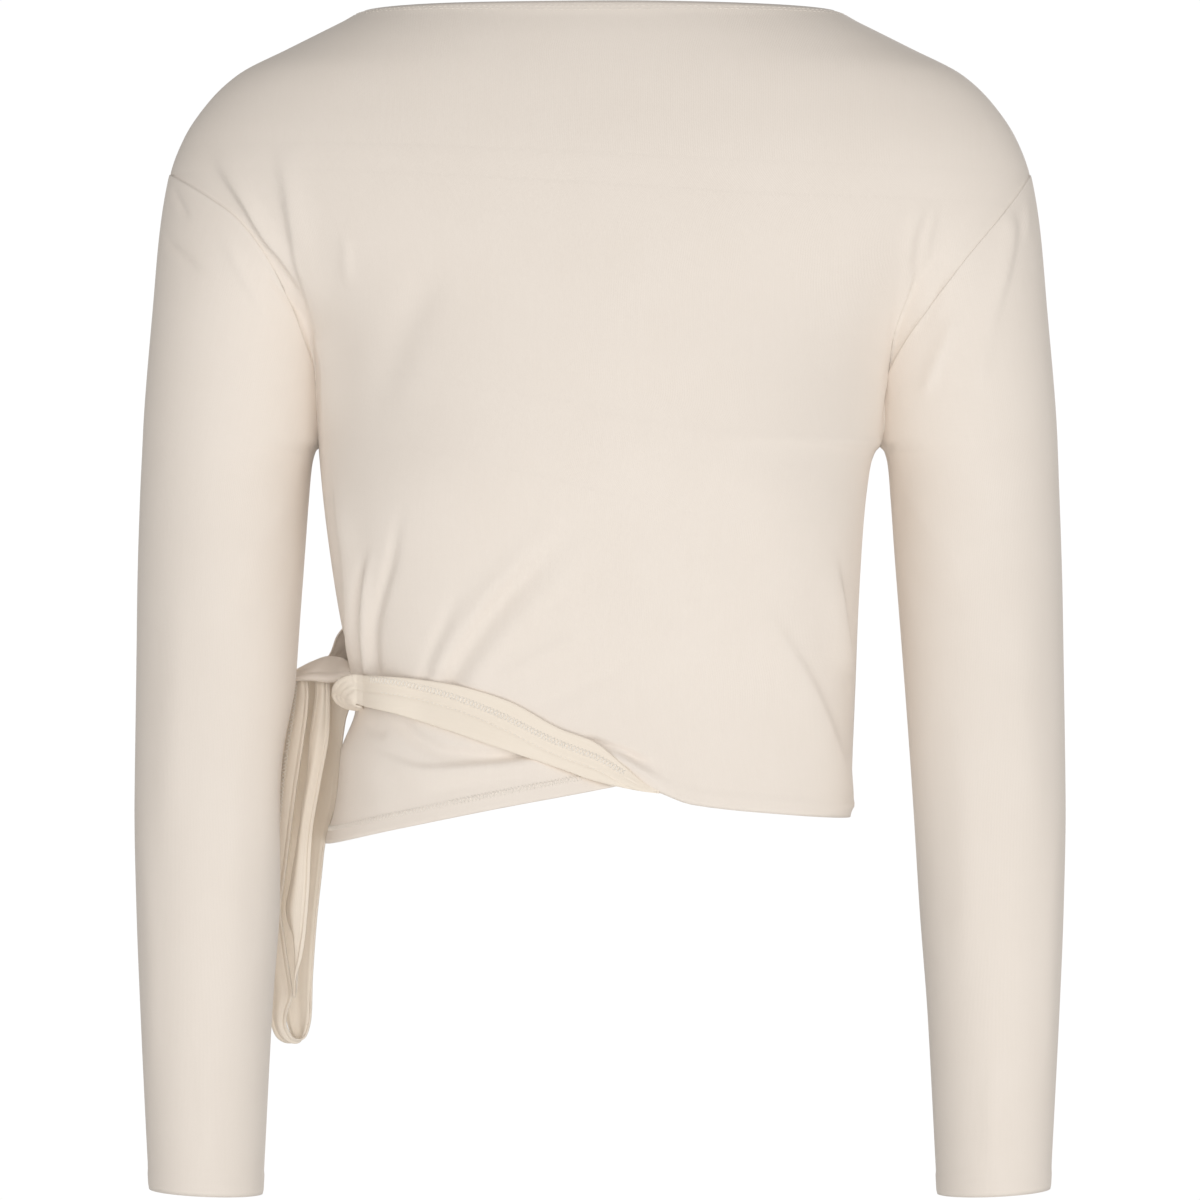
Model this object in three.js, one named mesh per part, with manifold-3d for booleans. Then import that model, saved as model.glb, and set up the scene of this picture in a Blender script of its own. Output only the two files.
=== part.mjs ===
// A cream jersey wrap top, worn shape with no wearer: a boat neck, drop shoulders, long sleeves, and a
// front whose hem turns up into a tie that is knotted at one side. Millimetres, +Z up.
// The front faces -Y. The knot is on the -X side. The origin is the middle of the neck opening.
import * as THREE from "three";
import { mergeVertices } from "three/addons/utils/BufferGeometryUtils.js";
import Module from "manifold-3d";

const wasm = await Module();
wasm.setup();

// ---- Driving dimensions -------------------------------------------------------------------------
const CLOTH = 2; // wall of one layer of jersey
const SEAM_GAP = 0.4; // between two pieces that are sewn edge to edge
const ARMHOLE_GAP = 1.6; // the same at the armholes, where both walls bend
const LAYER_GAP = 0.4; // between two pieces of cloth, one lying on the other
const UNDER_GAP = 0.9; // between the two layers of the front
const SHOULDER_END_Z = -90; // where the shoulder seam meets the sleeve
const UNDERARM_Z = -238; // where sleeve and side seam meet
const CUFF_Z = -643;
const CUFF_TILT = 1.5; // the cuff hangs this much lower on the inside of the arm

const PLAIN = 1; // the +X side
const KNOT = -1; // the -X side

// Half widths of the whole outline (shoulders, then the outside of the sleeves).
const OUTLINE = [
  { z: 0, half: 130 },
  { z: -10, half: 150 },
  { z: -20, half: 170 },
  { z: -35, half: 199 },
  { z: -50, half: 215 },
  { z: -70, half: 228.5 },
  { z: -90, half: 236 },
  { z: -120, half: 241 },
  { z: -160, half: 244.5 },
  { z: -238, half: 250.5 },
  { z: -330, half: 252.6 },
  { z: -430, half: 252.3 },
  { z: -490, half: 250.6 },
  { z: -550, half: 247.8 },
  { z: -645, half: 242.5 },
];

// The body's depth in front of the middle plane and behind it.
const BODY_DEPTH = [
  { z: 0, front: 62, back: 62 },
  { z: -20, front: 73, back: 71 },
  { z: -50, front: 85, back: 82 },
  { z: -90, front: 96, back: 91 },
  { z: -160, front: 105, back: 97 },
  { z: -200, front: 107, back: 98 },
  { z: -238, front: 107, back: 97 },
  { z: -290, front: 102, back: 92 },
  { z: -337, front: 96, back: 88 },
  { z: -382, front: 90.5, back: 85 },
  { z: -408, front: 90, back: 86 },
  { z: -458, front: 92, back: 90 },
];

// How boxy the front of the trunk is: 2 is an ellipse, and more gives a flatter front with rounder
// corners, because the tie pulls the cloth straight across.
const FRONT_FULLNESS = [
  { z: 0, power: 2 },
  { z: -130, power: 2 },
  { z: -215, power: 2.2 },
  { z: -238, power: 2.35 },
  { z: -290, power: 2.9 },
  { z: -458, power: 3 },
];

// The trunk's half widths, inside the shoulders and arms.
const BODY_SIDE = [
  { z: -60, plain: 215, knot: 215 },
  { z: -90, plain: 214, knot: 213 },
  { z: -120, plain: 203, knot: 201 },
  { z: -160, plain: 174, knot: 172 },
  { z: -184, plain: 163, knot: 162 },
  { z: -200, plain: 158.5, knot: 158.5 },
  { z: -238, plain: 154.5, knot: 154.5 },
  { z: -250, plain: 148.5, knot: 153.5 },
  { z: -290, plain: 143.6, knot: 149 },
  { z: -337, plain: 141.3, knot: 140 },
  { z: -364, plain: 140.3, knot: 134.5 },
  { z: -382, plain: 139.6, knot: 134 },
  { z: -408, plain: 138.5, knot: 142.3 },
  { z: -425, plain: 138, knot: 142 },
  { z: -440, plain: 137.5, knot: 142.5 },
  { z: -450, plain: 137.2, knot: 144.8 },
  { z: -458, plain: 137, knot: 148.8 },
];

// The sleeve: its inner edge, half depth, and how far forward its middle hangs.
const SLEEVE = [
  { z: -60, inner: 122, depth: 44, forward: 0 },
  { z: -90, inner: 128, depth: 45, forward: 0 },
  { z: -120, inner: 136, depth: 47, forward: 0 },
  { z: -160, inner: 145, depth: 48.5, forward: 0 },
  { z: -200, inner: 149.5, depth: 49, forward: 0 },
  { z: -238, inner: 154.5, depth: 48.5, forward: 0 },
  { z: -250, inner: 159.5, depth: 48.2, forward: 0.3 },
  { z: -268, inner: 161, depth: 47.8, forward: 1.6 },
  { z: -300, inner: 163, depth: 47, forward: 6 },
  { z: -340, inner: 165.6, depth: 45.6, forward: 13 },
  { z: -430, inner: 171, depth: 42, forward: 31 },
  { z: -490, inner: 174.5, depth: 39.5, forward: 40 },
  { z: -550, inner: 179, depth: 36, forward: 46 },
  { z: -645, inner: 183.5, depth: 31.5, forward: 51 },
];

// The armhole seam: how far from the middle it runs at each height, on either side.
const ARMHOLE = [
  { z: -90, plain: 236, knot: 236 },
  { z: -103, plain: 227, knot: 215 },
  { z: -117, plain: 216, knot: 196 },
  { z: -138, plain: 198.5, knot: 180 },
  { z: -160, plain: 182, knot: 169 },
  { z: -180, plain: 168, knot: 162 },
  { z: -196, plain: 159.5, knot: 157 },
  { z: -210, plain: 154.9, knot: 154.9 },
  { z: -224, plain: 154.5, knot: 154.5 },
  { z: -238, plain: 154.5, knot: 154.5 },
];

// How softly the sleeve runs into the trunk above the underarm.
const FILLET = [
  { z: -90, soft: 30 },
  { z: -140, soft: 16 },
  { z: -190, soft: 7 },
  { z: -238, soft: 2 },
];

// Between these heights one shoulder form turns into a trunk with an arm beside it.
const PARTING = { above: -60, below: -190 };

// Lower edges, by place across the body: -1 at the knot side seam, 1 at the plain side seam.
const OVER_HEM = [
  { at: -1, z: -371 },
  { at: -0.82, z: -374 },
  { at: -0.6, z: -381 },
  { at: -0.38, z: -392 },
  { at: -0.15, z: -405 },
  { at: 0, z: -414 },
  { at: 0.12, z: -421 },
  { at: 0.22, z: -425 },
  { at: 0.36, z: -433 },
  { at: 0.75, z: -439 },
  { at: 1, z: -442 },
];
const UNDER_PANEL = [
  { at: -1, top: -246, hem: -456.5 },
  { at: -0.78, top: -252, hem: -448 },
  { at: -0.4, top: -270, hem: -435.8 },
  { at: 0, top: -300, hem: -424.8 },
  { at: 0.5, top: -340, hem: -410 },
  { at: 1, top: -372, hem: -396 },
];
const BACK_HEM = [
  { at: -1, z: -442 },
  { at: -0.6, z: -431 },
  { at: 0, z: -420 },
  { at: 0.6, z: -433 },
  { at: 1, z: -456.5 },
];

// The turned-up hem that runs to the knot: its upper and lower edge by place across the body.
const BAND = [
  { at: -1, top: -363.5, bottom: -379.5 },
  { at: -0.82, top: -364, bottom: -385 },
  { at: -0.6, top: -368, bottom: -393.5 },
  { at: -0.385, top: -376, bottom: -403 },
  { at: -0.155, top: -392, bottom: -413.7 },
  { at: -0.022, top: -401, bottom: -420 },
  { at: 0.086, top: -413, bottom: -423.5 },
  { at: 0.17, top: -421, bottom: -425.5 },
];
const BAND_THICK = 3.4; // two layers of jersey, rolled
const BAND_GAP = 0.7; // between the band and the front it lies on

// ---- Interpolation ------------------------------------------------------------------------------
// A smooth curve through one column of a table, with no overshoot (cubic, harmonic slopes).
function column(table, key, by = "z") {
  const rows = [...table].sort((a, b) => a[by] - b[by]);
  const at = rows.map((row) => row[by]);
  const value = rows.map((row) => row[key]);
  const rise = at.slice(1).map((a, i) => (value[i + 1] - value[i]) / (a - at[i]));
  const slope = value.map((_, i) => {
    if (i === 0) return rise[0];
    if (i === value.length - 1) return rise[i - 1];
    const before = rise[i - 1];
    const after = rise[i];
    return before * after <= 0 ? 0 : (2 * before * after) / (before + after);
  });
  return (x) => {
    const last = at.length - 2;
    let i = 0;
    while (i < last && x > at[i + 1]) i += 1;
    const step = at[i + 1] - at[i];
    const t = Math.min(1, Math.max(0, (x - at[i]) / step));
    const a = value[i];
    const b = value[i + 1];
    const bend = (1 - t) * (1 - t) * t * step * slope[i] - t * t * (1 - t) * step * slope[i + 1];
    return a + (b - a) * t * t * (3 - 2 * t) + bend;
  };
}

const outline = column(OUTLINE, "half");
const bodySide = { [PLAIN]: column(BODY_SIDE, "plain"), [KNOT]: column(BODY_SIDE, "knot") };
const bodyDepth = { front: column(BODY_DEPTH, "front"), back: column(BODY_DEPTH, "back") };
const sleeveInner = column(SLEEVE, "inner");
const sleeveDepth = column(SLEEVE, "depth");
const sleeveForward = column(SLEEVE, "forward");
const frontFullness = column(FRONT_FULLNESS, "power");
const armhole = { [PLAIN]: column(ARMHOLE, "plain"), [KNOT]: column(ARMHOLE, "knot") };
const fillet = column(FILLET, "soft");
const overHem = column(OVER_HEM, "z", "at");
const underTop = column(UNDER_PANEL, "top", "at");
const underHem = column(UNDER_PANEL, "hem", "at");
const backHem = column(BACK_HEM, "z", "at");
const bandTop = column(BAND, "top", "at");
const bandBottom = column(BAND, "bottom", "at");

const lerp = THREE.MathUtils.lerp;
const clamp = THREE.MathUtils.clamp;
const smooth = THREE.MathUtils.smoothstep;

// ---- The form that the cloth takes --------------------------------------------------------------
// Square root that goes on below zero, so that two forms can be blended past their edges.
const root = (q) => Math.sign(q) * Math.sqrt(Math.abs(q));

// How far the trunk alone stands off the middle plane.
function trunkAt(x, z, face) {
  const half = bodySide[x < 0 ? KNOT : PLAIN](z);
  const power = face === "front" ? frontFullness(z) : 2;
  const q = 1 - Math.abs(x / half) ** power;
  return bodyDepth[face](z) * Math.sign(q) * Math.abs(q) ** (1 / power);
}

// How far the surface stands off the middle plane at (x, z), in front or behind.
function depthAt(x, z, face) {
  const deep = bodyDepth[face](z);
  if (z < UNDERARM_Z) return Math.max(0, trunkAt(x, z, face));
  const shoulders = Math.max(0, deep * root(1 - (x / outline(z)) ** 2));
  const parted = 1 - smooth(z, PARTING.below, PARTING.above);
  if (parted === 0) return shoulders;
  const trunk = trunkAt(x, z, face);
  const middle = (outline(z) + sleeveInner(z)) / 2;
  const half = (outline(z) - sleeveInner(z)) / 2;
  const arm = sleeveDepth(z) * root(1 - ((Math.abs(x) - middle) / half) ** 2);
  const high = Math.max(trunk, arm);
  const soft = fillet(z) * clamp(high / 15, 0, 1);
  const near = soft > 0 ? Math.max(0, soft - Math.abs(trunk - arm)) / soft : 0;
  return lerp(shoulders, Math.max(0, high + (near * near * soft) / 4), parted);
}

// Half the width of a body panel at a height: to the shoulder seam, the armhole, then the side seam.
function panelHalf(z, side) {
  if (z > SHOULDER_END_Z) return outline(z);
  if (z > UNDERARM_Z) return Math.min(armhole[side](z), outline(z));
  return bodySide[side](z);
}

// A point of a body panel. across runs from -1 to 1, face is front or back.
function bodyPoint(across, z, face) {
  const side = across < 0 ? KNOT : PLAIN;
  const x = across * panelHalf(z, side);
  const y = depthAt(x, z, face) * (face === "front" ? -1 : 1);
  return new THREE.Vector3(x, y, z);
}

// ---- Walls from grids of points -----------------------------------------------------------------
// The outward normals of a grid of points. A grid is a list of rows.
function normalsOf(grid, closed, outward) {
  const rows = grid.length;
  const cols = grid[0].length;
  const get = (r, c) => grid[clamp(r, 0, rows - 1)][closed ? (c + cols) % cols : clamp(c, 0, cols - 1)];
  return grid.map((row, r) =>
    row.map((_, c) => {
      const down = get(r + 1, c).clone().sub(get(r - 1, c));
      const along = get(r, c + 1).clone().sub(get(r, c - 1));
      return along.cross(down).normalize().multiplyScalar(outward);
    }),
  );
}

const moved = (grid, normals, by) =>
  grid.map((row, r) => row.map((p, c) => p.clone().addScaledVector(normals[r][c], by)));

// A closed wall between two grids of the same size. closed joins the last column to the first.
function wall(outer, inner, closed = false) {
  const rows = outer.length;
  const cols = outer[0].length;
  const points = [...outer.flat(), ...inner.flat()];
  const id = (layer, r, c) => layer * rows * cols + r * cols + (c % cols);
  const faces = [];
  const quad = (a, b, c, d) => faces.push(a, b, c, a, c, d);
  const lastCol = closed ? cols : cols - 1;
  for (let r = 0; r < rows - 1; r += 1) {
    for (let c = 0; c < lastCol; c += 1) {
      quad(id(0, r, c), id(0, r, c + 1), id(0, r + 1, c + 1), id(0, r + 1, c));
      quad(id(1, r, c), id(1, r + 1, c), id(1, r + 1, c + 1), id(1, r, c + 1));
    }
    if (!closed) {
      quad(id(0, r, 0), id(0, r + 1, 0), id(1, r + 1, 0), id(1, r, 0));
      quad(id(0, r, cols - 1), id(1, r, cols - 1), id(1, r + 1, cols - 1), id(0, r + 1, cols - 1));
    }
  }
  for (let c = 0; c < lastCol; c += 1) {
    quad(id(0, 0, c), id(1, 0, c), id(1, 0, c + 1), id(0, 0, c + 1));
    quad(id(0, rows - 1, c), id(0, rows - 1, c + 1), id(1, rows - 1, c + 1), id(1, rows - 1, c));
  }
  return facingOut(points, faces);
}

// A geometry from points and faces, turned so that its faces point outwards.
function facingOut(points, faces) {
  let volume = 0;
  for (let i = 0; i < faces.length; i += 3) {
    const [a, b, c] = [points[faces[i]], points[faces[i + 1]], points[faces[i + 2]]];
    volume += a.dot(b.clone().cross(c));
  }
  const ordered = volume > 0 ? faces : [...faces].reverse();
  const geometry = new THREE.BufferGeometry();
  geometry.setAttribute("position", new THREE.Float32BufferAttribute(points.flatMap((p) => p.toArray()), 3));
  geometry.setIndex(ordered);
  geometry.computeVertexNormals();
  return geometry;
}

const steps = (count) => Array.from({ length: count + 1 }, (_, i) => i / count);

// ---- Body panels --------------------------------------------------------------------------------
const SHOULDER_ROWS = [0, -8, -18, -30, -46, -66];
const ARMHOLE_ROWS = [-90, -98, -107, -117, -130, -145, -160, -175, -190, -205, -217, -228, -238];
const PANEL_COLUMNS = 24;
const LOWER_ROWS = 7;
// Evenly spread round the curve of the body, so that the columns crowd towards the seams.
const ACROSS = steps(PANEL_COLUMNS).map((t) => Math.sin((t - 0.5) * Math.PI));

function bodyGrid(face, hem) {
  const upper = [...SHOULDER_ROWS, ...ARMHOLE_ROWS].map((z) => ACROSS.map((across) => bodyPoint(across, z, face)));
  const lower = steps(LOWER_ROWS)
    .slice(1)
    .map((t) => ACROSS.map((across) => bodyPoint(across, lerp(UNDERARM_Z, hem(across), t), face)));
  return [...upper, ...lower];
}

// Front and back meet at the middle plane, half the seam's gap from it on either side.
function keepOffSeam(grid, face) {
  const edge = SEAM_GAP / 2;
  grid.flat().forEach((p) => (p.y = face === "front" ? Math.min(p.y, -edge) : Math.max(p.y, edge)));
  return grid;
}

function bodyPanel(face, hem) {
  const grid = bodyGrid(face, hem);
  const normals = normalsOf(grid, false, face === "front" ? -1 : 1);
  return wall(keepOffSeam(grid, face), keepOffSeam(moved(grid, normals, -CLOTH), face));
}

// The layer under the front. It lies a wall and a gap inside, and comes out flush below the tie.
function underPanel() {
  const grid = steps(9).map((t) =>
    ACROSS.map((at) => bodyPoint(at, lerp(underTop(at), underHem(at), t), "front")),
  );
  const normals = normalsOf(grid, false, -1);
  const covered = (p, at) => smooth(p.z, overHem(at) - 60, overHem(at) - 28);
  const inset = (extra) =>
    grid.map((row, r) =>
      row.map((p, c) => {
        const depth = covered(p, ACROSS[c]) * (CLOTH + UNDER_GAP) + extra;
        return p.clone().addScaledVector(normals[r][c], -depth);
      }),
    );
  return wall(keepOffSeam(inset(0), "front"), keepOffSeam(inset(CLOTH), "front"));
}

// ---- Sleeves ------------------------------------------------------------------------------------
// A point of the sleeve. angle runs from 0 at the outside of the arm to PI at the inside.
function sleevePoint(side, face, angle, z) {
  const middle = (outline(z) + sleeveInner(z)) / 2;
  const half = (outline(z) - sleeveInner(z)) / 2;
  const x = side * (middle + half * Math.cos(angle));
  const stand = z > UNDERARM_Z ? depthAt(x, z, face) : sleeveDepth(z) * Math.sin(angle);
  return new THREE.Vector3(x, (face === "front" ? -stand : stand) - sleeveForward(z), z);
}

// Where the armhole seam lies round the arm at a height.
function seamAngle(side, z) {
  const middle = (outline(z) + sleeveInner(z)) / 2;
  const half = (outline(z) - sleeveInner(z)) / 2;
  return Math.acos(clamp((armhole[side](z) - middle) / half, -1, 1));
}

const SLEEVE_HALF_COLUMNS = ARMHOLE_ROWS.length - 1;
const SLEEVE_ROWS = [0, 0.02, 0.05, 0.09, 0.15, 0.23, 0.33, 0.44, 0.56, 0.68, 0.8, 0.91, 1];
const SETTLE = 170; // how far down the sleeve its columns take to straighten

function sleeve(side) {
  const half = (face) =>
    ARMHOLE_ROWS.map((top, i) => ({ face, top, angle: (Math.PI * i) / SLEEVE_HALF_COLUMNS }));
  // Round the arm: down the front from the outside to the underarm, then back up behind.
  const ring = [...half("front"), ...half("back").slice(1, -1).reverse()];
  const grid = SLEEVE_ROWS.map((down) =>
    ring.map(({ face, angle, top }) => {
      const cuff = CUFF_Z + CUFF_TILT * Math.cos(angle);
      const z = lerp(top, cuff, down);
      const settled = 1 - (1 - clamp((top - z) / SETTLE, 0, 1)) ** 2;
      return sleevePoint(side, face, lerp(seamAngle(side, top), angle, settled), z);
    }),
  );
  const normals = normalsOf(grid, true, side === PLAIN ? 1 : -1);
  // The seam's own row steps back from the body, along the sleeve.
  grid[0].forEach((p, c) => p.addScaledVector(grid[1][c].clone().sub(p).normalize(), ARMHOLE_GAP));
  return wall(grid, moved(grid, normals, -CLOTH), true);
}

// ---- The tie ------------------------------------------------------------------------------------
// The turned-up hem lies on the front: made from the front's points, moved out.
function tieBand() {
  const places = [...ACROSS.filter((at) => at < BAND.at(-1).at), BAND.at(-1).at];
  const grid = places.map((at) =>
    steps(5).map((s) => bodyPoint(at, lerp(bandTop(at), bandBottom(at), s), "front")),
  );
  const normals = normalsOf(grid, false, 1);
  const full = (s) => BAND_THICK * (0.45 + 0.55 * Math.sin(Math.PI * clamp(s, 0.08, 0.92)));
  const outer = grid.map((row, r) =>
    row.map((p, c) => p.clone().addScaledVector(normals[r][c], BAND_GAP + full(c / 5))),
  );
  return wall(keepOffSeam(outer, "front"), keepOffSeam(moved(grid, normals, BAND_GAP), "front"));
}

// The back's own tie leaves the back, turns round the knot side and gathers towards the knot.
// turn is its place round the body, from the side seam towards the middle of the back, in degrees.
const BACK_TIE = [
  { turn: 52.5, off: 1, top: -322, bottom: -394 },
  { turn: 45, off: 1, top: -323, bottom: -392 },
  { turn: 37.5, off: 1, top: -325, bottom: -389 },
  { turn: 30, off: 1.2, top: -329, bottom: -385 },
  { turn: 22.5, off: 3, top: -334, bottom: -380 },
  { turn: 15, off: 6, top: -341, bottom: -374 },
  { turn: 7.5, off: 9, top: -350, bottom: -370 },
];

function backTie() {
  const grid = BACK_TIE.map(({ turn, off, top, bottom }) =>
    steps(6).map((s) => {
      const z = lerp(top, bottom, s);
      const a = THREE.MathUtils.degToRad(turn);
      const x = -(bodySide[KNOT](z) + off) * Math.cos(a);
      return new THREE.Vector3(x, (bodyDepth.back(z) + off) * Math.sin(a), z);
    }),
  );
  const normals = normalsOf(grid, false, 1);
  return wall(moved(grid, normals, CLOTH), grid);
}

// ---- Knot ---------------------------------------------------------------------------------------
// A closed geometry as a solid, and back.
function solid(geometry) {
  const bare = geometry.clone();
  bare.deleteAttribute("normal");
  bare.deleteAttribute("uv");
  const merged = mergeVertices(bare, 1e-3);
  return new wasm.Manifold(
    new wasm.Mesh({
      numProp: 3,
      vertProperties: merged.attributes.position.array,
      triVerts: new Uint32Array(merged.index.array),
    }),
  );
}

function geometryOf(made) {
  const mesh = made.getMesh();
  const geometry = new THREE.BufferGeometry();
  geometry.setAttribute("position", new THREE.BufferAttribute(mesh.vertProperties, 3));
  geometry.setIndex(new THREE.BufferAttribute(mesh.triVerts, 1));
  geometry.computeVertexNormals();
  return geometry;
}

function lump(centre, radii) {
  const ball = new THREE.SphereGeometry(1, 16, 10);
  ball.scale(...radii);
  ball.translate(...centre);
  return ball;
}

function block(low, high) {
  const size = high.map((h, i) => h - low[i]);
  const box = new THREE.BoxGeometry(...size);
  box.translate(...low.map((l, i) => l + size[i] / 2));
  return solid(box);
}

// The cap that folds over the knot has a flat underside, where the loops leave it.
const CAP = { centre: [-154, 0, -366], radii: [15, 16, 11], underside: -366.5 };
// The ring is the end of the band, wound down and under.
const RING = { centre: [-143, -20, -374.5], radii: [7.5, 10, 11.5] };
const BAND_END_X = -138;

function knotCap() {
  const [x, y] = CAP.centre;
  const above = block([x - 40, y - 40, CAP.underside], [x + 40, y + 40, CAP.underside + 40]);
  return geometryOf(solid(lump(CAP.centre, CAP.radii)).intersect(above));
}

function knotRing() {
  const [x, y, z] = RING.centre;
  const low = [x - 30, y - 30, z - 30];
  const high = [BAND_END_X, y + 30, CAP.underside - LAYER_GAP];
  return geometryOf(solid(lump(RING.centre, RING.radii)).intersect(block(low, high)));
}

// ---- Loop and end -------------------------------------------------------------------------------
// Below the knot hang a long loop and the tie's pointed end, which lies in front of it. Both are flat
// strips. Each row is a place along the strip: its left hem and its right hem, as seen from the front.
const LOOP = [
  { left: [-171, 6, -367.2], right: [-160.5, 0, -367.2] },
  { left: [-172.5, 8, -375], right: [-160.3, -4, -375] },
  { left: [-175, 9.5, -387], right: [-161, -5, -387] },
  { left: [-178, 9, -400], right: [-162.7, -6, -400] },
  { left: [-181, 6.5, -419], right: [-165.6, -6, -419] },
  { left: [-182.5, 5, -436], right: [-168, -6, -436] },
  { left: [-184, 4, -455], right: [-170.4, -7, -455] },
  { left: [-185, 3, -475], right: [-173, -8, -475] },
  { left: [-186, 2, -493], right: [-175.4, -9, -493] },
  { left: [-186, 1, -507], right: [-173.4, -10, -507] },
  { left: [-186, 0, -521], right: [-171.2, -11, -522] },
  { left: [-183.5, -2, -540], right: [-168.8, -11, -540] },
  { left: [-182, -3, -550], right: [-171.3, -9.5, -549] },
  { left: [-180.3, -3, -558], right: [-172, -8, -555.5] },
  { left: [-177.5, -1, -564], right: [-170.5, -5, -560.5] },
  { left: [-173, 2, -567], right: [-167.5, -1.5, -564.5] },
  { left: [-169, 6, -566.5], right: [-162.8, 1.5, -564.5] },
  { left: [-172, 9.5, -559], right: [-159.6, 4.5, -557] },
  { left: [-177, 12, -530], right: [-158.2, 6, -530] },
  { left: [-177, 12, -500], right: [-156, 6, -500] },
  { left: [-175, 12, -477], right: [-153.5, 5, -477] },
  { left: [-172, 12, -457], right: [-151.8, 5, -457] },
  { left: [-170.5, 12, -447], right: [-149.4, 4.5, -447] },
  { left: [-169, 12, -436], right: [-146, 4, -436] },
  { left: [-168, 12, -423], right: [-144.6, 3.5, -423] },
  { left: [-167, 12, -411], right: [-142.8, 3, -411] },
  { left: [-164, 11, -390], right: [-141.6, 2, -390] },
  { left: [-161, 10, -375], right: [-143, 2, -375] },
  { left: [-160, 9, -367.2], right: [-146, 3, -367.2] },
];
const TIE_END = [
  { left: [-157, -1, -367.2], right: [-148.5, -1.5, -367.2] },
  { left: [-157, -3, -375], right: [-148.2, -3.5, -375] },
  { left: [-158.5, -6, -387], right: [-148.2, -7, -388] },
  { left: [-160.3, -9, -400], right: [-148.6, -11.5, -400] },
  { left: [-162, -10, -419], right: [-152, -14, -419] },
  { left: [-164.4, -10.5, -433], right: [-154.5, -15, -433] },
  { left: [-166.4, -11, -448], right: [-157, -15.5, -448] },
  { left: [-168.4, -12, -463], right: [-158.2, -16, -463] },
  { left: [-170.6, -13, -478], right: [-158.8, -16.5, -478] },
  { left: [-172.8, -14, -492], right: [-159.7, -17, -492] },
  { left: [-171.5, -14.5, -501], right: [-160.4, -17.5, -500] },
  { left: [-169.4, -14, -508], right: [-161.2, -18, -508] },
  { left: [-168.1, -14, -519], right: [-163, -18, -519] },
  { left: [-168.6, -15, -530], right: [-166, -17.5, -529] },
  { left: [-169.4, -15.5, -541], right: [-167.9, -16.5, -540.5] },
];

function strip(rows, count) {
  const hem = (key) =>
    new THREE.CatmullRomCurve3(rows.map((row) => new THREE.Vector3(...row[key])), false, "centripetal");
  const left = hem("left");
  const right = hem("right");
  const grid = steps(count).map((t) => {
    const [a, b] = [left.getPoint(t), right.getPoint(t)];
    return [0, 0.25, 0.5, 0.75, 1].map((s) => a.clone().lerp(b, s));
  });
  const normals = normalsOf(grid, false, -1);
  return wall(moved(grid, normals, CLOTH / 2), moved(grid, normals, -CLOTH / 2));
}

// ---- The garment --------------------------------------------------------------------------------
const jersey = { color: 0xe9dfd0, roughness: 0.85, metalness: 0 };
const wrongSide = { color: 0xe6d9c4, roughness: 0.9, metalness: 0 };
const wrapTop = new THREE.Group();

function piece(name, geometry, finish = jersey) {
  const mesh = new THREE.Mesh(geometry, new THREE.MeshStandardMaterial(finish));
  mesh.name = name;
  wrapTop.add(mesh);
}

piece("front_over_panel", bodyPanel("front", overHem));
piece("front_under_panel", underPanel());
piece("back_panel", bodyPanel("back", (at) => backHem(-at)));
piece("sleeve_plain_side", sleeve(PLAIN));
piece("sleeve_knot_side", sleeve(KNOT));
piece("tie_band", tieBand(), wrongSide);
piece("back_tie", backTie());
piece("knot_cap", knotCap());
piece("knot_ring", knotRing(), wrongSide);
piece("tie_loop", strip(LOOP, 38), wrongSide);
piece("tie_end", strip(TIE_END, 16), wrongSide);

export default wrapTop;
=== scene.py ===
# %% [markdown]
# # A cream jersey wrap top
# The top is shown in the shape it has when worn, with nobody in it. It is sewn from a front, a second
# front layer, a back and two sleeves, and the front's hem turns up into a tie knotted at one side.
# The rigid frame comes first: it says where every piece is. All shapes here are in its metres, with
# +Z up and the front towards -Y. Tables are in millimetres, because that is how a maker measures.

# %% Load the frame
import math

import bpy
import numpy as np
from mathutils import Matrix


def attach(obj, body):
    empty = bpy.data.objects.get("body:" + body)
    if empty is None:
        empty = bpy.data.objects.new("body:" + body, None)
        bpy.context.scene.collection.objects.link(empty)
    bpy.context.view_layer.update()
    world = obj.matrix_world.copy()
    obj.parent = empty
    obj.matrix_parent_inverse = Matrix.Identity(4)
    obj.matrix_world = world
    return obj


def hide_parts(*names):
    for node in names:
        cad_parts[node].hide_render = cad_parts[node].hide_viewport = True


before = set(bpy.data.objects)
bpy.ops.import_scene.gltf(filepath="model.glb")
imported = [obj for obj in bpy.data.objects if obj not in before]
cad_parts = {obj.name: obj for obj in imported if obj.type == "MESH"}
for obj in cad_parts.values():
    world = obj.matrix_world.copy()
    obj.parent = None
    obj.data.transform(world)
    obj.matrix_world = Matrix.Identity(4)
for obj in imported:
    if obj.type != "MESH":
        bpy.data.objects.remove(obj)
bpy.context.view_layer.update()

MM = 0.001

# %% [markdown]
# ## Camera
# The camera stands level with the middle of the top, far away, with a long lens, as in a catalogue.
# Its distance decides how much larger the chest looks than the shoulder line.

# %% Camera
CAMERA_DISTANCE = 3.2
CAMERA_HEIGHT = -0.3234
VIEW_WIDTH = 0.66

lens = bpy.data.cameras.new("camera")
lens.sensor_width = 36
lens.lens = 36 * CAMERA_DISTANCE / VIEW_WIDTH
lens.clip_start, lens.clip_end = 0.1, 30
camera = bpy.data.objects.new("camera", lens)
bpy.context.scene.collection.objects.link(camera)
camera.location = (0, -CAMERA_DISTANCE, CAMERA_HEIGHT)
camera.rotation_euler = (math.radians(90), 0, 0)
bpy.context.scene.camera = camera
print("lens in mm:", round(lens.lens))

# %% [markdown]
# ## Light
# Cream cloth needs soft light, so that it stays pale in the middle and shades off towards its sides.
# One wide lamp in front gives most of it. A weak one low down and one at each side keep the hem and
# the sleeves from going grey, and one behind is there for whoever looks at the back.

# %% Lamps
scene = bpy.context.scene
scene.view_settings.view_transform = "Standard"


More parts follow.
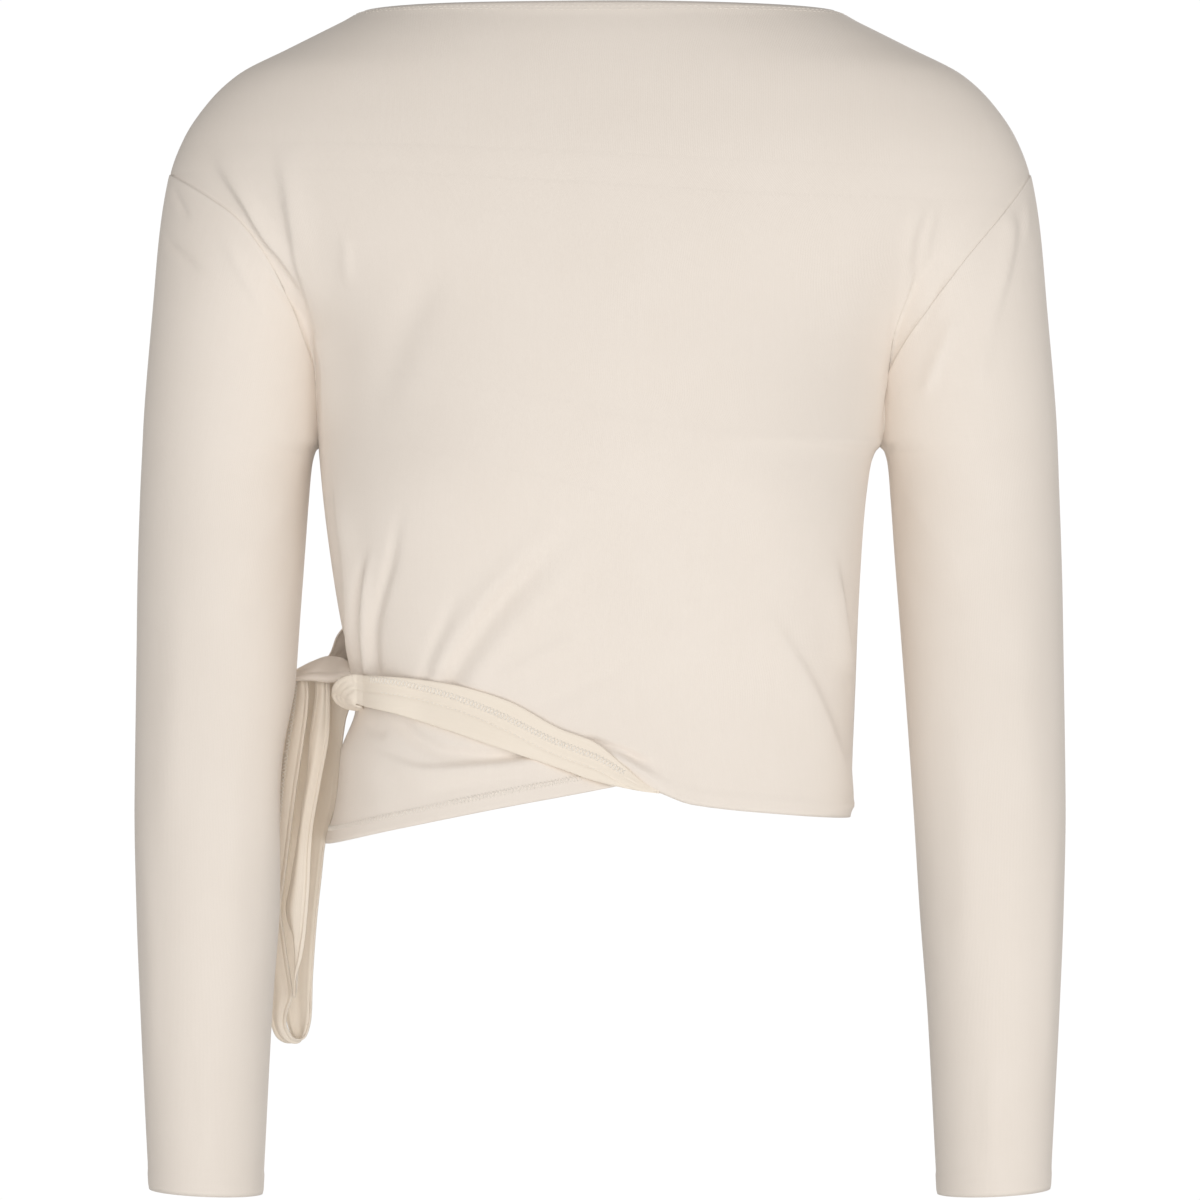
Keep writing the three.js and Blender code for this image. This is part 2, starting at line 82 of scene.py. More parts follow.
def lamp(name, place, aim, size, power):
    light = bpy.data.lights.new(name, "AREA")
    light.size, light.energy = size, power
    stand = bpy.data.objects.new(name, light)
    scene.collection.objects.link(stand)
    stand.location = place
    way = np.array(aim) - np.array(place)
    tip, turn = math.atan2(math.hypot(way[0], way[1]), -way[2]), math.atan2(-way[0], way[1])
    stand.rotation_euler = (tip, 0, turn)


CHEST = (0, 0, -0.35)
lamp("front_lamp", place=(0.35, -3.7, -0.75), aim=CHEST, size=5.0, power=107)
lamp("low_lamp", place=(0.4, -2.3, -1.35), aim=(0.05, 0, -0.65), size=1.4, power=2.2)
lamp("right_lamp", place=(2.6, -1.7, -0.4), aim=CHEST, size=1.6, power=9)
lamp("left_lamp", place=(-2.6, -1.7, -0.4), aim=CHEST, size=1.6, power=7)
lamp("back_lamp", place=(0.6, 3.2, 0.4), aim=(0, 0, -0.3), size=1.8, power=40)

# %% [markdown]
# ## Room and floor
# The room lights the cloth a little from everywhere, which fills the folds. Behind the top is plain
# white paper: a second background that is seen but lights nothing, picked by the kind of ray. The
# floor is a disc far below the top, which hangs as on a form, so it doesn't shade the hem.

# %% Room and floor
room = bpy.data.worlds.new("room")
scene.world = room
room.use_nodes = True
nodes, links = room.node_tree.nodes, room.node_tree.links
fill = nodes["Background"]
fill.inputs["Color"].default_value = (1.0, 0.975, 0.945, 1)
fill.inputs["Strength"].default_value = 0.362
paper = nodes.new("ShaderNodeBackground")
paper.inputs["Color"].default_value = (1, 1, 1, 1)
paper.inputs["Strength"].default_value = 1.02
seen = nodes.new("ShaderNodeLightPath")
either = nodes.new("ShaderNodeMixShader")
links.new(seen.outputs["Is Camera Ray"], either.inputs[0])
links.new(fill.outputs[0], either.inputs[1])
links.new(paper.outputs[0], either.inputs[2])
links.new(either.outputs[0], nodes["World Output"].inputs["Surface"])

FLOOR_Z, FLOOR_RADIUS = -1.2, 1.1
bpy.ops.mesh.primitive_circle_add(
    vertices=96, radius=FLOOR_RADIUS, fill_type="NGON", location=(0, 0, FLOOR_Z))
floor = bpy.context.object
floor.name = "floor"
print("floor at m:", FLOOR_Z)

# %% [markdown]
# ## The form that the cloth takes
# A worn top is a set of ovals: the neck, the chest, the waist, and one round each arm. Each table has
# one row per height. A smooth curve runs through every column, so that any height can be asked for.

# %% Tables of the form


def table(headings, *rows):
    """Rows with their headings. A row may stop early, when its last value is the usual one."""
    return [dict(zip(headings.split(), row)) for row in rows]


OUTLINE = table(
    "z half",
    (0, 130), (-10, 150), (-20, 170), (-35, 199), (-50, 215), (-70, 228.5), (-90, 236), (-120, 241),
    (-160, 244.5), (-238, 250.5), (-330, 252.6), (-430, 252.3), (-490, 250.6), (-550, 247.8),
    (-645, 242.5),
)
BODY_DEPTH = table(
    "z front back",
    (0, 62, 62), (-20, 73, 71), (-50, 85, 82), (-90, 96, 91), (-160, 105, 97), (-200, 107, 98),
    (-238, 107, 97), (-290, 102, 92), (-337, 96, 88), (-382, 90.5, 85), (-408, 90, 86), (-458, 92, 90),
)
BODY_SIDE = table(
    "z plain knot",
    (-60, 215, 215), (-90, 214, 213), (-120, 203, 201), (-160, 174, 172), (-184, 163, 162),
    (-200, 158.5, 158.5), (-238, 154.5, 154.5), (-241, 151.4, 154.2), (-250, 148.3, 153.5),
    (-290, 143.6, 149), (-337, 141.3, 141.6), (-364, 140.3, 134.5), (-382, 139.6, 134),
    (-408, 138.5, 142.4), (-425, 138, 143.8), (-440, 137.5, 146.2), (-450, 137.2, 149),
    (-458, 137, 151.2),
)
FRONT_FULLNESS = table(
    "z power",
    (0, 2), (-130, 2), (-215, 2.2), (-238, 2.35), (-290, 2.9), (-458, 3),
)
SLEEVE = table(
    "z inner depth forward",
    (-60, 122, 44, 0), (-90, 128, 45, 0), (-120, 136, 47, 0), (-160, 145, 48.5, 0), (-200, 149.5, 49, 0),
    (-238, 154.5, 48.5, 0), (-241, 157.2, 48.4, 0), (-250, 159.5, 48.2, 0.3), (-268, 161, 47.8, 1.6),
    (-300, 163, 47, 6), (-340, 165.6, 45.6, 13), (-430, 171, 42, 31), (-490, 174.5, 39.5, 40),
    (-550, 179, 36, 46), (-645, 183.5, 31.5, 51),
)
ARMHOLE = table(
    "z plain knot",
    (-90, 236, 236), (-103, 227, 215), (-117, 216, 196), (-138, 198.5, 180), (-160, 182, 169),
    (-180, 168, 162), (-196, 159.5, 157), (-210, 154.9, 154.9), (-224, 154.5, 154.5),
    (-238, 154.5, 154.5),
)
FILLET = table(
    "z soft",
    (-90, 30), (-140, 16), (-190, 7), (-238, 2),
)
SHOULDER_END, UNDERARM, CUFF = -90, -238, -643
PARTING_ABOVE, PARTING_BELOW = -60, -190


def column(rows, key, by="z"):
    """A smooth curve through one column of a table, with no overshoot."""
    rows = sorted(rows, key=lambda row: row[by])
    at = np.array([row[by] for row in rows], float)
    value = np.array([row[key] for row in rows], float)
    step = np.diff(at)
    rise = np.diff(value) / step
    slope = np.zeros(len(at))
    slope[0], slope[-1] = rise[0], rise[-1]
    before, after = rise[:-1], rise[1:]
    same = before * after > 0
    slope[1:-1][same] = 2 * before[same] * after[same] / (before + after)[same]

    def curve(x):
        x = np.asarray(x, float)
        i = np.clip(np.searchsorted(at, x, "right") - 1, 0, len(step) - 1)
        t = np.clip((x - at[i]) / step[i], 0, 1)
        bend = (1 - t) ** 2 * t * step[i] * slope[i] - t**2 * (1 - t) * step[i] * slope[i + 1]
        return value[i] + (value[i + 1] - value[i]) * t * t * (3 - 2 * t) + bend

    return curve


def values(rows, by, at):
    """All the other columns of a table, read at given places in one of them."""
    return [column(rows, key, by)(at) for key in rows[0] if key != by]


outline = column(OUTLINE, "half")
depth_of = {"front": column(BODY_DEPTH, "front"), "back": column(BODY_DEPTH, "back")}
trunk_plain, trunk_knot = column(BODY_SIDE, "plain"), column(BODY_SIDE, "knot")
hole_plain, hole_knot = column(ARMHOLE, "plain"), column(ARMHOLE, "knot")
arm_inner, arm_depth = column(SLEEVE, "inner"), column(SLEEVE, "depth")
arm_forward, fillet = column(SLEEVE, "forward"), column(FILLET, "soft")
fullness = column(FRONT_FULLNESS, "power")
print("half width at the waist, mm:", round(float(trunk_plain(-370)), 1))

# %% [markdown]
# ## One surface for body and sleeves
# Shoulders are one wide oval. Lower down it parts into a trunk with an arm beside it, and the two run
# softly into each other until they meet in a sharp valley at the underarm. Both the body panels and
# the sleeves take their points from this one surface, so that they meet exactly at the seam.

# %% The surface


def ease(low, high, x):
    t = np.clip((np.asarray(x, float) - low) / (high - low), 0, 1)
    return t * t * (3 - 2 * t)


def bell(distance, width):
    return np.exp(-((distance / width) ** 2))


def root(q):
    return np.sign(q) * np.sqrt(np.abs(q))


def by_side(x, plain, knot):
    return np.where(x < 0, knot, plain)


def arm_oval(z):
    """How far out the middle of the arm's oval is, and its half width."""
    return (outline(z) + arm_inner(z)) / 2, (outline(z) - arm_inner(z)) / 2


def trunk_at(x, z, face):
    """The trunk alone. Its front is boxier than an oval, because the tie pulls it straight."""
    power = fullness(z) if face == "front" else 2.0
    q = 1 - np.abs(x / by_side(x, trunk_plain(z), trunk_knot(z))) ** power
    return depth_of[face](z) * np.sign(q) * np.abs(q) ** (1 / power)


def stand(x, z, face):
    """How far the cloth stands off the middle plane, in front or behind."""
    deep = depth_of[face](z)
    trunk = trunk_at(x, z, face)
    shoulders = np.maximum(0, deep * root(1 - (x / outline(z)) ** 2))
    middle, half = arm_oval(z)
    arm = arm_depth(z) * root(1 - ((np.abs(x) - middle) / half) ** 2)
    high = np.maximum(trunk, arm)
    soft = np.maximum(fillet(z) * np.clip(high / 15, 0, 1), 1e-6)
    near = np.maximum(0, soft - np.abs(trunk - arm)) / soft
    joined = np.maximum(0, high + near**2 * soft / 4)
    parted = 1 - ease(PARTING_BELOW, PARTING_ABOVE, z)
    upper = shoulders * (1 - parted) + joined * parted
    return np.where(z < UNDERARM, np.maximum(0, trunk), upper)


def panel_half(x, z):
    side = by_side(x, trunk_plain(z), trunk_knot(z))
    hole = np.minimum(by_side(x, hole_plain(z), hole_knot(z)), outline(z))
    return np.where(z > SHOULDER_END, outline(z), np.where(z > UNDERARM, hole, side))


def body_points(across, z, face):
    x = across * panel_half(across, z)
    y = stand(x, z, face) * (-1 if face == "front" else 1)
    return np.stack([x, y, z + 0 * x], -1)


def sleeve_points(side, face, angle, z):
    middle, half = arm_oval(z)
    x = side * (middle + half * np.cos(angle))
    y = np.where(z > UNDERARM, stand(x, z, face), arm_depth(z) * np.sin(angle))
    return np.stack([x, np.where(face == "front", -y, y) - arm_forward(z), z + 0 * x], -1)


def seam_angle(side, z):
    middle, half = arm_oval(z)
    hole = hole_knot(z) if side < 0 else hole_plain(z)
    return np.arccos(np.clip((hole - middle) / half, -1, 1))


print("chest stands off by mm:", round(float(stand(np.array(0.0), np.array(-200.0), "front"))))

# %% [markdown]
# ## Grids of points
# Every piece of cloth is a grid of points. Its normals say which way is out, and running totals of the
# distances between points say how far each point is from the piece's edges. Hems, seams and the knit
# all need those distances, measured on the cloth and not in space.

# %% Helpers for grids


def normals_of(grid, out=1, closed=False):
    down = np.gradient(grid, axis=0)
    along = np.gradient(grid, axis=1)
    if closed:
        along = np.roll(grid, -1, axis=1) - np.roll(grid, 1, axis=1)
    n = np.cross(along, down) * out
    return n / np.maximum(np.linalg.norm(n, axis=-1, keepdims=True), 1e-9)


def run_along(grid, axis):
    """The distance covered along each row (axis 1) or down each column (axis 0)."""
    step = np.linalg.norm(np.diff(grid, axis=axis), axis=-1)
    start = np.zeros_like(np.take(step, [0], axis=axis))
    return np.concatenate([start, np.cumsum(step, axis=axis)], axis=axis)


def measures(grid):
    across, down = run_along(grid, 1), run_along(grid, 0)
    return dict(
        left=across, right=across[:, -1:] - across, top=down, bottom=down[-1:] - down,
        across=across - across[:, -1:] / 2, down=down,
    )


def raised(grid, normals, height):
    return grid + normals * np.asarray(height)[..., None]


def spread(count):
    """Places from -1 to 1 that are evenly spaced round a curved panel."""
    return np.sin((np.linspace(0, 1, count) - 0.5) * np.pi)


pieces = {}


def cloth(name, grid, node, closed=False, wall=1.0, flip=False, knit=None):
    """A named piece of cloth from a grid in millimetres, with its wall laid on behind its faces."""
    rows, cols = grid.shape[:2]
    ids = np.arange(rows * cols).reshape(rows, cols)
    if closed:
        ids = np.concatenate([ids, ids[:, :1]], axis=1)
    a, b, c, d = ids[:-1, :-1], ids[1:, :-1], ids[1:, 1:], ids[:-1, 1:]
    faces = np.stack([a, b, c, d] if not flip else [a, d, c, b], -1).reshape(-1, 4)
    mesh = bpy.data.meshes.new(name)
    mesh.from_pydata((grid.reshape(-1, 3) * MM).tolist(), [], faces.tolist())
    mesh.shade_smooth()
    size = measures(grid)
    place = np.stack([size["across"], size["down"], 0 * size["down"]], -1) if knit is None else knit
    note = mesh.attributes.new("knit", "FLOAT_VECTOR", "POINT")
    note.data.foreach_set("vector", place.reshape(-1).astype(np.float32))
    piece = bpy.data.objects.new(name, mesh)
    scene.collection.objects.link(piece)
    shell = piece.modifiers.new("wall", "SOLIDIFY")
    shell.thickness, shell.offset = wall * MM, -1
    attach(piece, "root")
    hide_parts(node)
    pieces[name] = piece
    print(f"{name}: {rows} x {cols} points")
    return piece


# %% [markdown]
# ## Folds
# Jersey makes soft ridges with one steep side where it is pulled. Each fold is a short path over the
# cloth with a height and a width on either side of it: left and right as one walks along the path. A
# negative height is a furrow. Every fold dies away at its ends. Simulation could find such folds, but
# tables put them where this top's pulls really run: from the armholes, and out of the knot.

# %% Folds helper


def smooth_path(points, count=40):
    """A curve through a few points, with no loops where they lie close (centripetal Catmull-Rom)."""
    p = np.array(points, float)
    gap = np.maximum(np.linalg.norm(np.diff(p, axis=0), axis=1), 1e-6)[:, None] ** 0.5
    rise = np.diff(p, axis=0) / gap
    way = np.concatenate([
        rise[:1], (rise[:-1] * gap[1:] + rise[1:] * gap[:-1]) / (gap[:-1] + gap[1:]), rise[-1:]])
    t = np.linspace(0, len(p) - 1, count)
    i = np.minimum(t.astype(int), len(p) - 2)
    f, h = (t - i)[:, None], gap[i]
    from_a = p[i] * (1 + 2 * f) * (1 - f) ** 2 + h * way[i] * f * (1 - f) ** 2
    to_b = p[i + 1] * (3 - 2 * f) * f**2 - h * way[i + 1] * (1 - f) * f**2
    return from_a + to_b


def fold_height(folds, u, v):
    """The height that all folds in a table add at places (u, v)."""
    total = np.zeros(u.shape)
    for fold in folds:
        path = smooth_path(fold["path"])
        reach = 3 * max(fold["left"], fold["right"])
        low, high = path.min(0) - reach, path.max(0) + reach
        near = (u > low[0]) & (u < high[0]) & (v > low[1]) & (v < high[1])
        if not near.any():
            continue
        p = np.stack([u[near], v[near]], -1)
        best = np.full(len(p), 1e9)
        side, share = np.zeros(len(p)), np.zeros(len(p))
        for k, (a, b) in enumerate(zip(path[:-1], path[1:])):
            way = b - a
            t = np.clip(((p - a) @ way) / max(way @ way, 1e-9), 0, 1)
            gap = p - a - t[:, None] * way
            d = np.hypot(gap[:, 0], gap[:, 1])
            closer = d < best
            best = np.where(closer, d, best)
            side = np.where(closer, way[0] * gap[:, 1] - way[1] * gap[:, 0], side)
            share = np.where(closer, (k + t) / (len(path) - 1), share)
        width = np.where(side > 0, fold["left"], fold["right"])
        start, end = fold.get("fade", (0.35, 0.35))
        lasting = ease(0, start, share) * ease(0, end, 1 - share)
        total[near] += fold["height"] * bell(best, width) * lasting
    return total


def drift(u, v, size, seed):
    """Slow, uneven waves, as cloth has that is never quite flat."""
    total = 0
    for k in range(6):
        turn = seed * 1.7 + k * 2.4
        f = 2 * math.pi / (size * (0.7 + 0.23 * k))
        total = total + np.sin(f * (u * math.cos(turn) + 0.55 * v * math.sin(turn)) + 3.1 * k + seed)
    return total / 6


# %% [markdown]
# ## Where the folds run
# These tables put each fold where a maker would chalk it: x across the top and z down it. In front the
# knot pulls the cloth from the chest and from the far hem, and the sleeves pull it at the armholes.
# The back has fewer, since it only has to lead to its own tie.

# %% Folds of front and back
FOLD = "height left right path fade"
FRONT_FOLDS = table(
    FOLD,
    # From the knot side's shoulder down into the armhole.
    (3.6, 6, 2.0, [(-212, -77), (-203, -92), (-191.5, -109.5), (-180.5, -127.5), (-169, -141),
     (-154, -168)], (0.42, 0.22)),
    (-1.4, 2.4, 2.4, [(-185.5, -137), (-175.5, -152), (-166, -164), (-159, -174)]),
    (2.8, 9, 2.3, [(-175.5, -75), (-171, -93), (-166, -121), (-163, -136), (-157.5, -154),
     (-153.5, -183)], (0.42, 0.2)),
    (2.6, 8, 1.5, [(-153.5, -172), (-152.5, -184), (-150, -197), (-149.5, -213),
     (-152, -236)], (0.25, 0.3)),
    (0.9, 3, 3, [(-137, -124), (-136, -157)]),
    (-1.6, 9, 11, [(-84, -140), (-93, -158), (-104, -178), (-114.5, -205), (-121, -230)]),
    # From the plain side's shoulder down into the armhole.
    (2.6, 1.5, 9, [(170, -140), (167, -154), (162, -170), (156.7, -191), (152.5, -214.5),
     (151.5, -236)], (0.2, 0.3)),
    (1.5, 2.6, 4, [(178, -106), (170, -121), (167, -136), (167, -156)]),
    (1.0, 2.6, 3, [(182, -106), (177, -129), (174, -146)]),
    (-1.0, 3.5, 3.5, [(188, -126), (181, -161), (172, -184)]),
    (1.9, 2.4, 6, [(221, -108), (223.5, -122), (219.5, -146), (209, -182)]),
    (0.9, 2.2, 2.2, [(232.5, -102), (232, -130)]),
    (1.8, 2.6, 5, [(196, -160), (189, -180), (180, -203), (176, -216)]),
    (0.8, 4, 5, [(216, -150), (208, -190), (204, -215)]),
    # Small creases on the outside of the knot side's sleeve.
    (-1.5, 1.9, 1.9, [(-234, -97), (-229, -106), (-222, -118)]),
    (-1.6, 2.4, 2.4, [(-240, -123), (-229.5, -134), (-214, -147)]),
    (0.8, 4, 3, [(-206, -120), (-197, -140), (-186, -160), (-176, -180)]),
    # Pulls that fan out of the knot.
    (-3.0, 6, 4.6, [(10, -262), (-30, -301), (-50, -321), (-66, -342), (-76, -357),
     (-83, -371)], (0.45, 0.05)),
    (1.6, 6, 6, [(-8, -266), (-41, -300), (-60, -321), (-78, -346), (-90, -366)], (0.45, 0.1)),
    (1.4, 6, 6, [(8, -284), (-22, -313), (-44, -336), (-62, -358), (-70, -372)], (0.45, 0.1)),
    (-1.5, 3.4, 3.4, [(-70, -308), (-82, -334), (-90, -352), (-96, -370)], (0.5, 0.05)),
    (1.1, 4, 4, [(-4, -338), (-22, -349), (-40, -358), (-66, -371)]),
    (-0.9, 5, 5, [(34, -346), (4, -362), (-22, -375), (-42, -384)]),
    (-3.4, 1.7, 2.1, [(-126, -296), (-130, -318), (-131, -344), (-128, -366)], (0.4, 0.05)),
    (-2.9, 3.2, 2.8, [(-106, -268), (-112, -300), (-120, -328), (-122.5, -345),
     (-121.5, -366)], (0.4, 0.05)),
    (2.3, 2.6, 2.2, [(-121, -290), (-126, -315), (-127, -345), (-125, -366)], (0.4, 0.05)),
    (3.0, 6, 1.8, [(-146, -246), (-141, -275), (-137.5, -300), (-136, -326), (-135, -350),
     (-131, -368)], (0.3, 0.05)),
    # The plain side: the cloth turns back in a long slanting edge above the hem.
    (2.2, 3.4, 15, [(80, -316), (99, -346), (114, -371), (127, -402), (134, -422),
     (136, -440)], (0.4, 0.05)),
    (3.0, 1.8, 8, [(126, -296), (129.5, -322), (133, -344), (137, -366)], (0.4, 0.2)),
    (-0.7, 12, 12, [(60, -250), (74, -290), (80, -330)]),
    # The turn where the hem starts to roll up into the tie.
    (-3.2, 1.6, 3, [(-9, -396.5), (2, -400.5), (13.4, -404.8), (22, -409), (32, -414.5)], (0.15, 0.4)),
    (2.6, 2.6, 2.6, [(1, -402.5), (11, -407.5), (21, -414), (30, -420), (40, -427)], (0.25, 0.5)),
)
BACK_FOLDS = table(
    FOLD,
    (2.6, 9, 2.4, [(-205, -92), (-188, -118), (-170, -150), (-156, -190), (-153, -232)], (0.35, 0.05)),
    (2.4, 2.4, 9, [(205, -92), (190, -118), (171, -150), (157, -190), (153, -232)], (0.35, 0.05)),
    (1.2, 4, 5, [(176, -90), (168, -130), (160, -170)]),
    (-1.2, 3, 3, [(-180, -100), (-170, -130), (-163, -160)]),
    (-2.6, 6, 5, [(20, -262), (-18, -300), (-48, -332), (-72, -352)], (0.5, 0.1)),
    (1.6, 6, 6, [(36, -290), (0, -322), (-36, -346), (-70, -360)], (0.5, 0.1)),
    (-1.8, 5, 5, [(50, -340), (10, -358), (-30, -368), (-66, -371)], (0.5, 0.1)),
    (1.2, 7, 7, [(-60, -250), (-74, -290), (-86, -330)], (0.5, 0.1)),
    (1.5, 5, 4, [(-118, -262), (-122, -300), (-119, -330)]),
    (1.3, 5, 5, [(40, -400), (0, -396), (-40, -388), (-74, -382)]),
    (1.0, 9, 9, [(96, -300), (110, -350), (118, -410)]),
)
print("folds:", len(FRONT_FOLDS), "in front,", len(BACK_FOLDS), "behind")


def body_folds(grid, face):
    x, y, z = grid[..., 0], np.abs(grid[..., 1]), grid[..., 2]
    folds = FRONT_FOLDS if face == "front" else BACK_FOLDS
    return (fold_height(folds, x, z) + 0.45 * drift(x, z, 90, 1)) * ease(0, 9, y)


# %% [markdown]
# ## Body panels
# Front and back are cut straight across from armhole to armhole. At the neck the edge is turned in
# and stitched, so a narrow band there is two layers thick. The seams stand slightly proud.

# %% Body panels
OVER_HEM = table(
    "at z",
    (-1, -371), (-0.82, -374), (-0.6, -381), (-0.38, -392), (-0.15, -405), (0, -414), (0.12, -421),
    (0.22, -426), (0.36, -433), (0.75, -439), (1, -442),
)
UNDER_PANEL = table(
    "at top hem",
    (-1, -246, -456.5), (-0.78, -252, -448), (-0.4, -270, -435.8), (0, -300, -424.8), (0.5, -340, -410),
    (1, -372, -396),
)
BACK_HEM = table(
    "at z",
    (-1, -456.5), (-0.6, -433), (0, -420), (0.6, -431), (1, -442),
)
NECK_HEM, BODY_HEM, UNDER_HEM, CUFF_HEM = 7, 9, 9.5, 10.5
over_hem = column(OVER_HEM, "z", "at")
under_top, under_hem = column(UNDER_PANEL, "top", "at"), column(UNDER_PANEL, "hem", "at")
back_hem = column(BACK_HEM, "z", "at")


def hem_band(distance, width):
    """A turned edge: two layers up to the stitching, and a rounded fold at the edge itself."""
    return 0.35 * (1 - ease(width - 0.8, width + 0.8, distance)) - 0.35 * bell(distance, 0.7)


def seam_step(distance):
    """The body's edge stands a little proud of the sleeve, because the seam is pressed towards it."""
    return 0.45 * bell(distance, 1.7)


def body_panel(name, face, hem, rows, cols, node):
    at = spread(cols)[None, :]
    share = np.linspace(0, 1, rows)[:, None]
    base = body_points(at, share * hem(at), face)
    out = -1 if face == "front" else 1
    normals = normals_of(base, out)
    size = measures(base)
    height = body_folds(base, face) + hem_band(size["top"], NECK_HEM) + hem_band(size["bottom"], BODY_HEM)
    height += seam_step(np.minimum(size["left"], size["right"]))
    grid = raised(base, normals, height)
    grid[..., 1] = np.minimum(grid[..., 1], 0) if face == "front" else np.maximum(grid[..., 1], 0)
    return cloth(name, grid, node, flip=face == "back"), (grid, normals_of(grid, out))


front, front_skin = body_panel("front_over", "front", over_hem, 228, 200, "front_over_panel")
back, back_skin = body_panel("back", "back", back_hem, 170, 150, "back_panel")

# %% [markdown]
# ## The layer under the front
# A wrap has two fronts. Only the lower edge of the second one shows, below the tie. It hangs a wall
# and a little air behind the first, is creased where the tie squeezes it, and has its own stitched hem.

# %% Under panel
UNDER_FOLDS = table(
    FOLD,
    (2.4, 1.9, 8, [(-128, -402), (-112, -409), (-96, -413.8), (-72, -412.8), (-58, -411.4), (-39, -409.2),
     (-20, -407)], (0.3, 0.15)),
    (-2.6, 3.2, 4.6, [(-118, -383), (-107, -390), (-97, -398), (-84, -404.5), (-68, -406.5), (-50, -406.5),
     (-28, -404)], (0.2, 0.15)),
    (-0.7, 4, 3, [(-100, -429), (-84, -425), (-62, -421), (-40, -417.5), (-14, -414)]),
    (-1.2, 3, 3, [(-128, -388), (-121, -394), (-114, -395)]),
    (0.9, 8, 8, [(-124, -400), (-120, -425), (-112, -444)]),
)
ROOM_BEHIND = 2.9
at = spread(150)[None, :]
share = np.linspace(0, 1, 120)[:, None]
base = body_points(at, under_top(at) + share * (under_hem(at) - under_top(at)), "front")
normals = normals_of(base, -1)
size = measures(base)
covered = ease(over_hem(at) - 11, over_hem(at) - 2, base[..., 2])
height = fold_height(UNDER_FOLDS, base[..., 0], base[..., 2]) * ease(0, 9, -base[..., 1])
height = height - ROOM_BEHIND * covered - 0.1 + hem_band(size["bottom"], UNDER_HEM)
height = height + seam_step(np.minimum(size["left"], size["right"]))
under_grid = raised(base, normals, height)
under_grid[..., 1] = np.minimum(under_grid[..., 1], -0.1)
under = cloth("front_under", under_grid, "front_under_panel")
under_skin = under_grid, normals_of(under_grid, -1)

# %% [markdown]
# ## Folds of the sleeves
# Worn sleeves have long soft folds, and a few short ones inside the elbow. Their places are an angle
# round the arm and a height. The angle is in degrees: 90 is the front, 180 the inside, 270 the back.

# %% Folds of the sleeves
SLEEVE_FOLDS = table(
    FOLD,
    (0.9, 9, 9, [(150, -262), (120, -290), (100, -312)]),
    (-0.8, 8, 8, [(160, -300), (128, -322), (95, -332)]),
    (0.9, 12, 14, [(60, -300), (64, -380), (56, -470)]),
    (0.8, 12, 12, [(118, -360), (112, -450), (120, -540)]),
    (0.7, 12, 12, [(30, -420), (40, -520), (34, -600)]),
    (0.7, 9, 9, [(88, -560), (96, -600), (92, -636)]),
    (1.2, 10, 10, [(250, -250), (230, -300), (215, -345)]),
    (-1.0, 11, 11, [(290, -300), (280, -380), (292, -460)]),
    (0.9, 12, 12, [(240, -420), (262, -500), (250, -590)]),
)
KNOT_SLEEVE_FOLDS = table(
    FOLD,
    # The knot and its loop press a hollow into the inside of the arm.
    (-5.6, 24, 24, [(180, -366), (180, -400), (180, -440), (180, -505)], (0.5, 0.5)),
)
print("sleeve folds:", len(SLEEVE_FOLDS) + len(KNOT_SLEEVE_FOLDS))

# %% [markdown]
# ## Sleeves
# A sleeve is a tube whose top edge follows the slanting armhole seam. Its columns start on the seam,
# where they share the body's surface and its folds, and straighten as they go down to the cuff. The
# knit runs straight down the arm, so its columns are counted round it at an even pitch.

# %% Sleeves
COLUMN_PITCH = 2.2


def column_tops(side, settled_angle, face):
    """The heights on the armhole seam where the columns start, evenly spaced along the seam."""
    heights = np.linspace(SHOULDER_END, UNDERARM, 400)
    tops = {}
    for which in ("front", "back"):
        seam = np.array([sleeve_points(side, which, seam_angle(side, z), z) for z in heights])
        gone = run_along(seam, 0)
        tops[which] = np.interp(settled_angle / np.pi * gone[-1], gone, heights)
    return np.where(face == "front", tops["front"], tops["back"])


def sleeve(name, side, node, seed):
    rows, cols = 236, 132
    turn = np.arange(cols) / cols * 2 * np.pi
    face = np.where(turn <= np.pi, "front", "back")
    settled_angle = np.where(turn <= np.pi, turn, 2 * np.pi - turn)
    top = column_tops(side, settled_angle, face)
    share = (np.linspace(0, 1, rows) ** 1.15)[:, None]
    cuff = CUFF + 1.5 * np.cos(settled_angle)
    z = top + share * (cuff - top)
    settled = 1 - (1 - np.clip((top - z) / 170, 0, 1)) ** 2
    angle = seam_angle(side, top) * (1 - settled) + settled_angle * settled
    is_front = np.broadcast_to(face == "front", z.shape)
    base = np.where(
        is_front[..., None], sleeve_points(side, "front", angle, z), sleeve_points(side, "back", angle, z)
    )
    normals = normals_of(base, side, closed=True)
    size = measures(base)
    u = np.broadcast_to(np.degrees(turn), z.shape)
    y = np.abs(base[..., 1] + arm_forward(z))
    near_body = ease(-262, -232, z)
    upper = np.where(
        is_front, fold_height(FRONT_FOLDS, base[..., 0], z), fold_height(BACK_FOLDS, base[..., 0], z))
    upper = (upper + 0.45 * drift(base[..., 0], z, 90, 1)) * ease(0, 9, y)
    folds = SLEEVE_FOLDS + (KNOT_SLEEVE_FOLDS if side < 0 else [])
    lower = fold_height(folds, u, z) + 0.5 * drift(u * 0.8, z, 110, seed)
    height = upper * near_body + lower * (1 - near_body)
    height = height - 0.12 * bell(size["top"], 0.8) + hem_band(size["bottom"], CUFF_HEM)
    grid = raised(base, normals, height)
    across = COLUMN_PITCH * np.arange(1, cols + 1)
    knit = np.stack([np.broadcast_to(across, z.shape), size["down"], 0 * z], -1)
    # These faces look inwards, so the wall is laid on outside, over the stitches of the cuff.
    piece = cloth(name, grid, node, closed=True, flip=side < 0, knit=knit)
    return piece, (grid, normals_of(grid, side, closed=True))


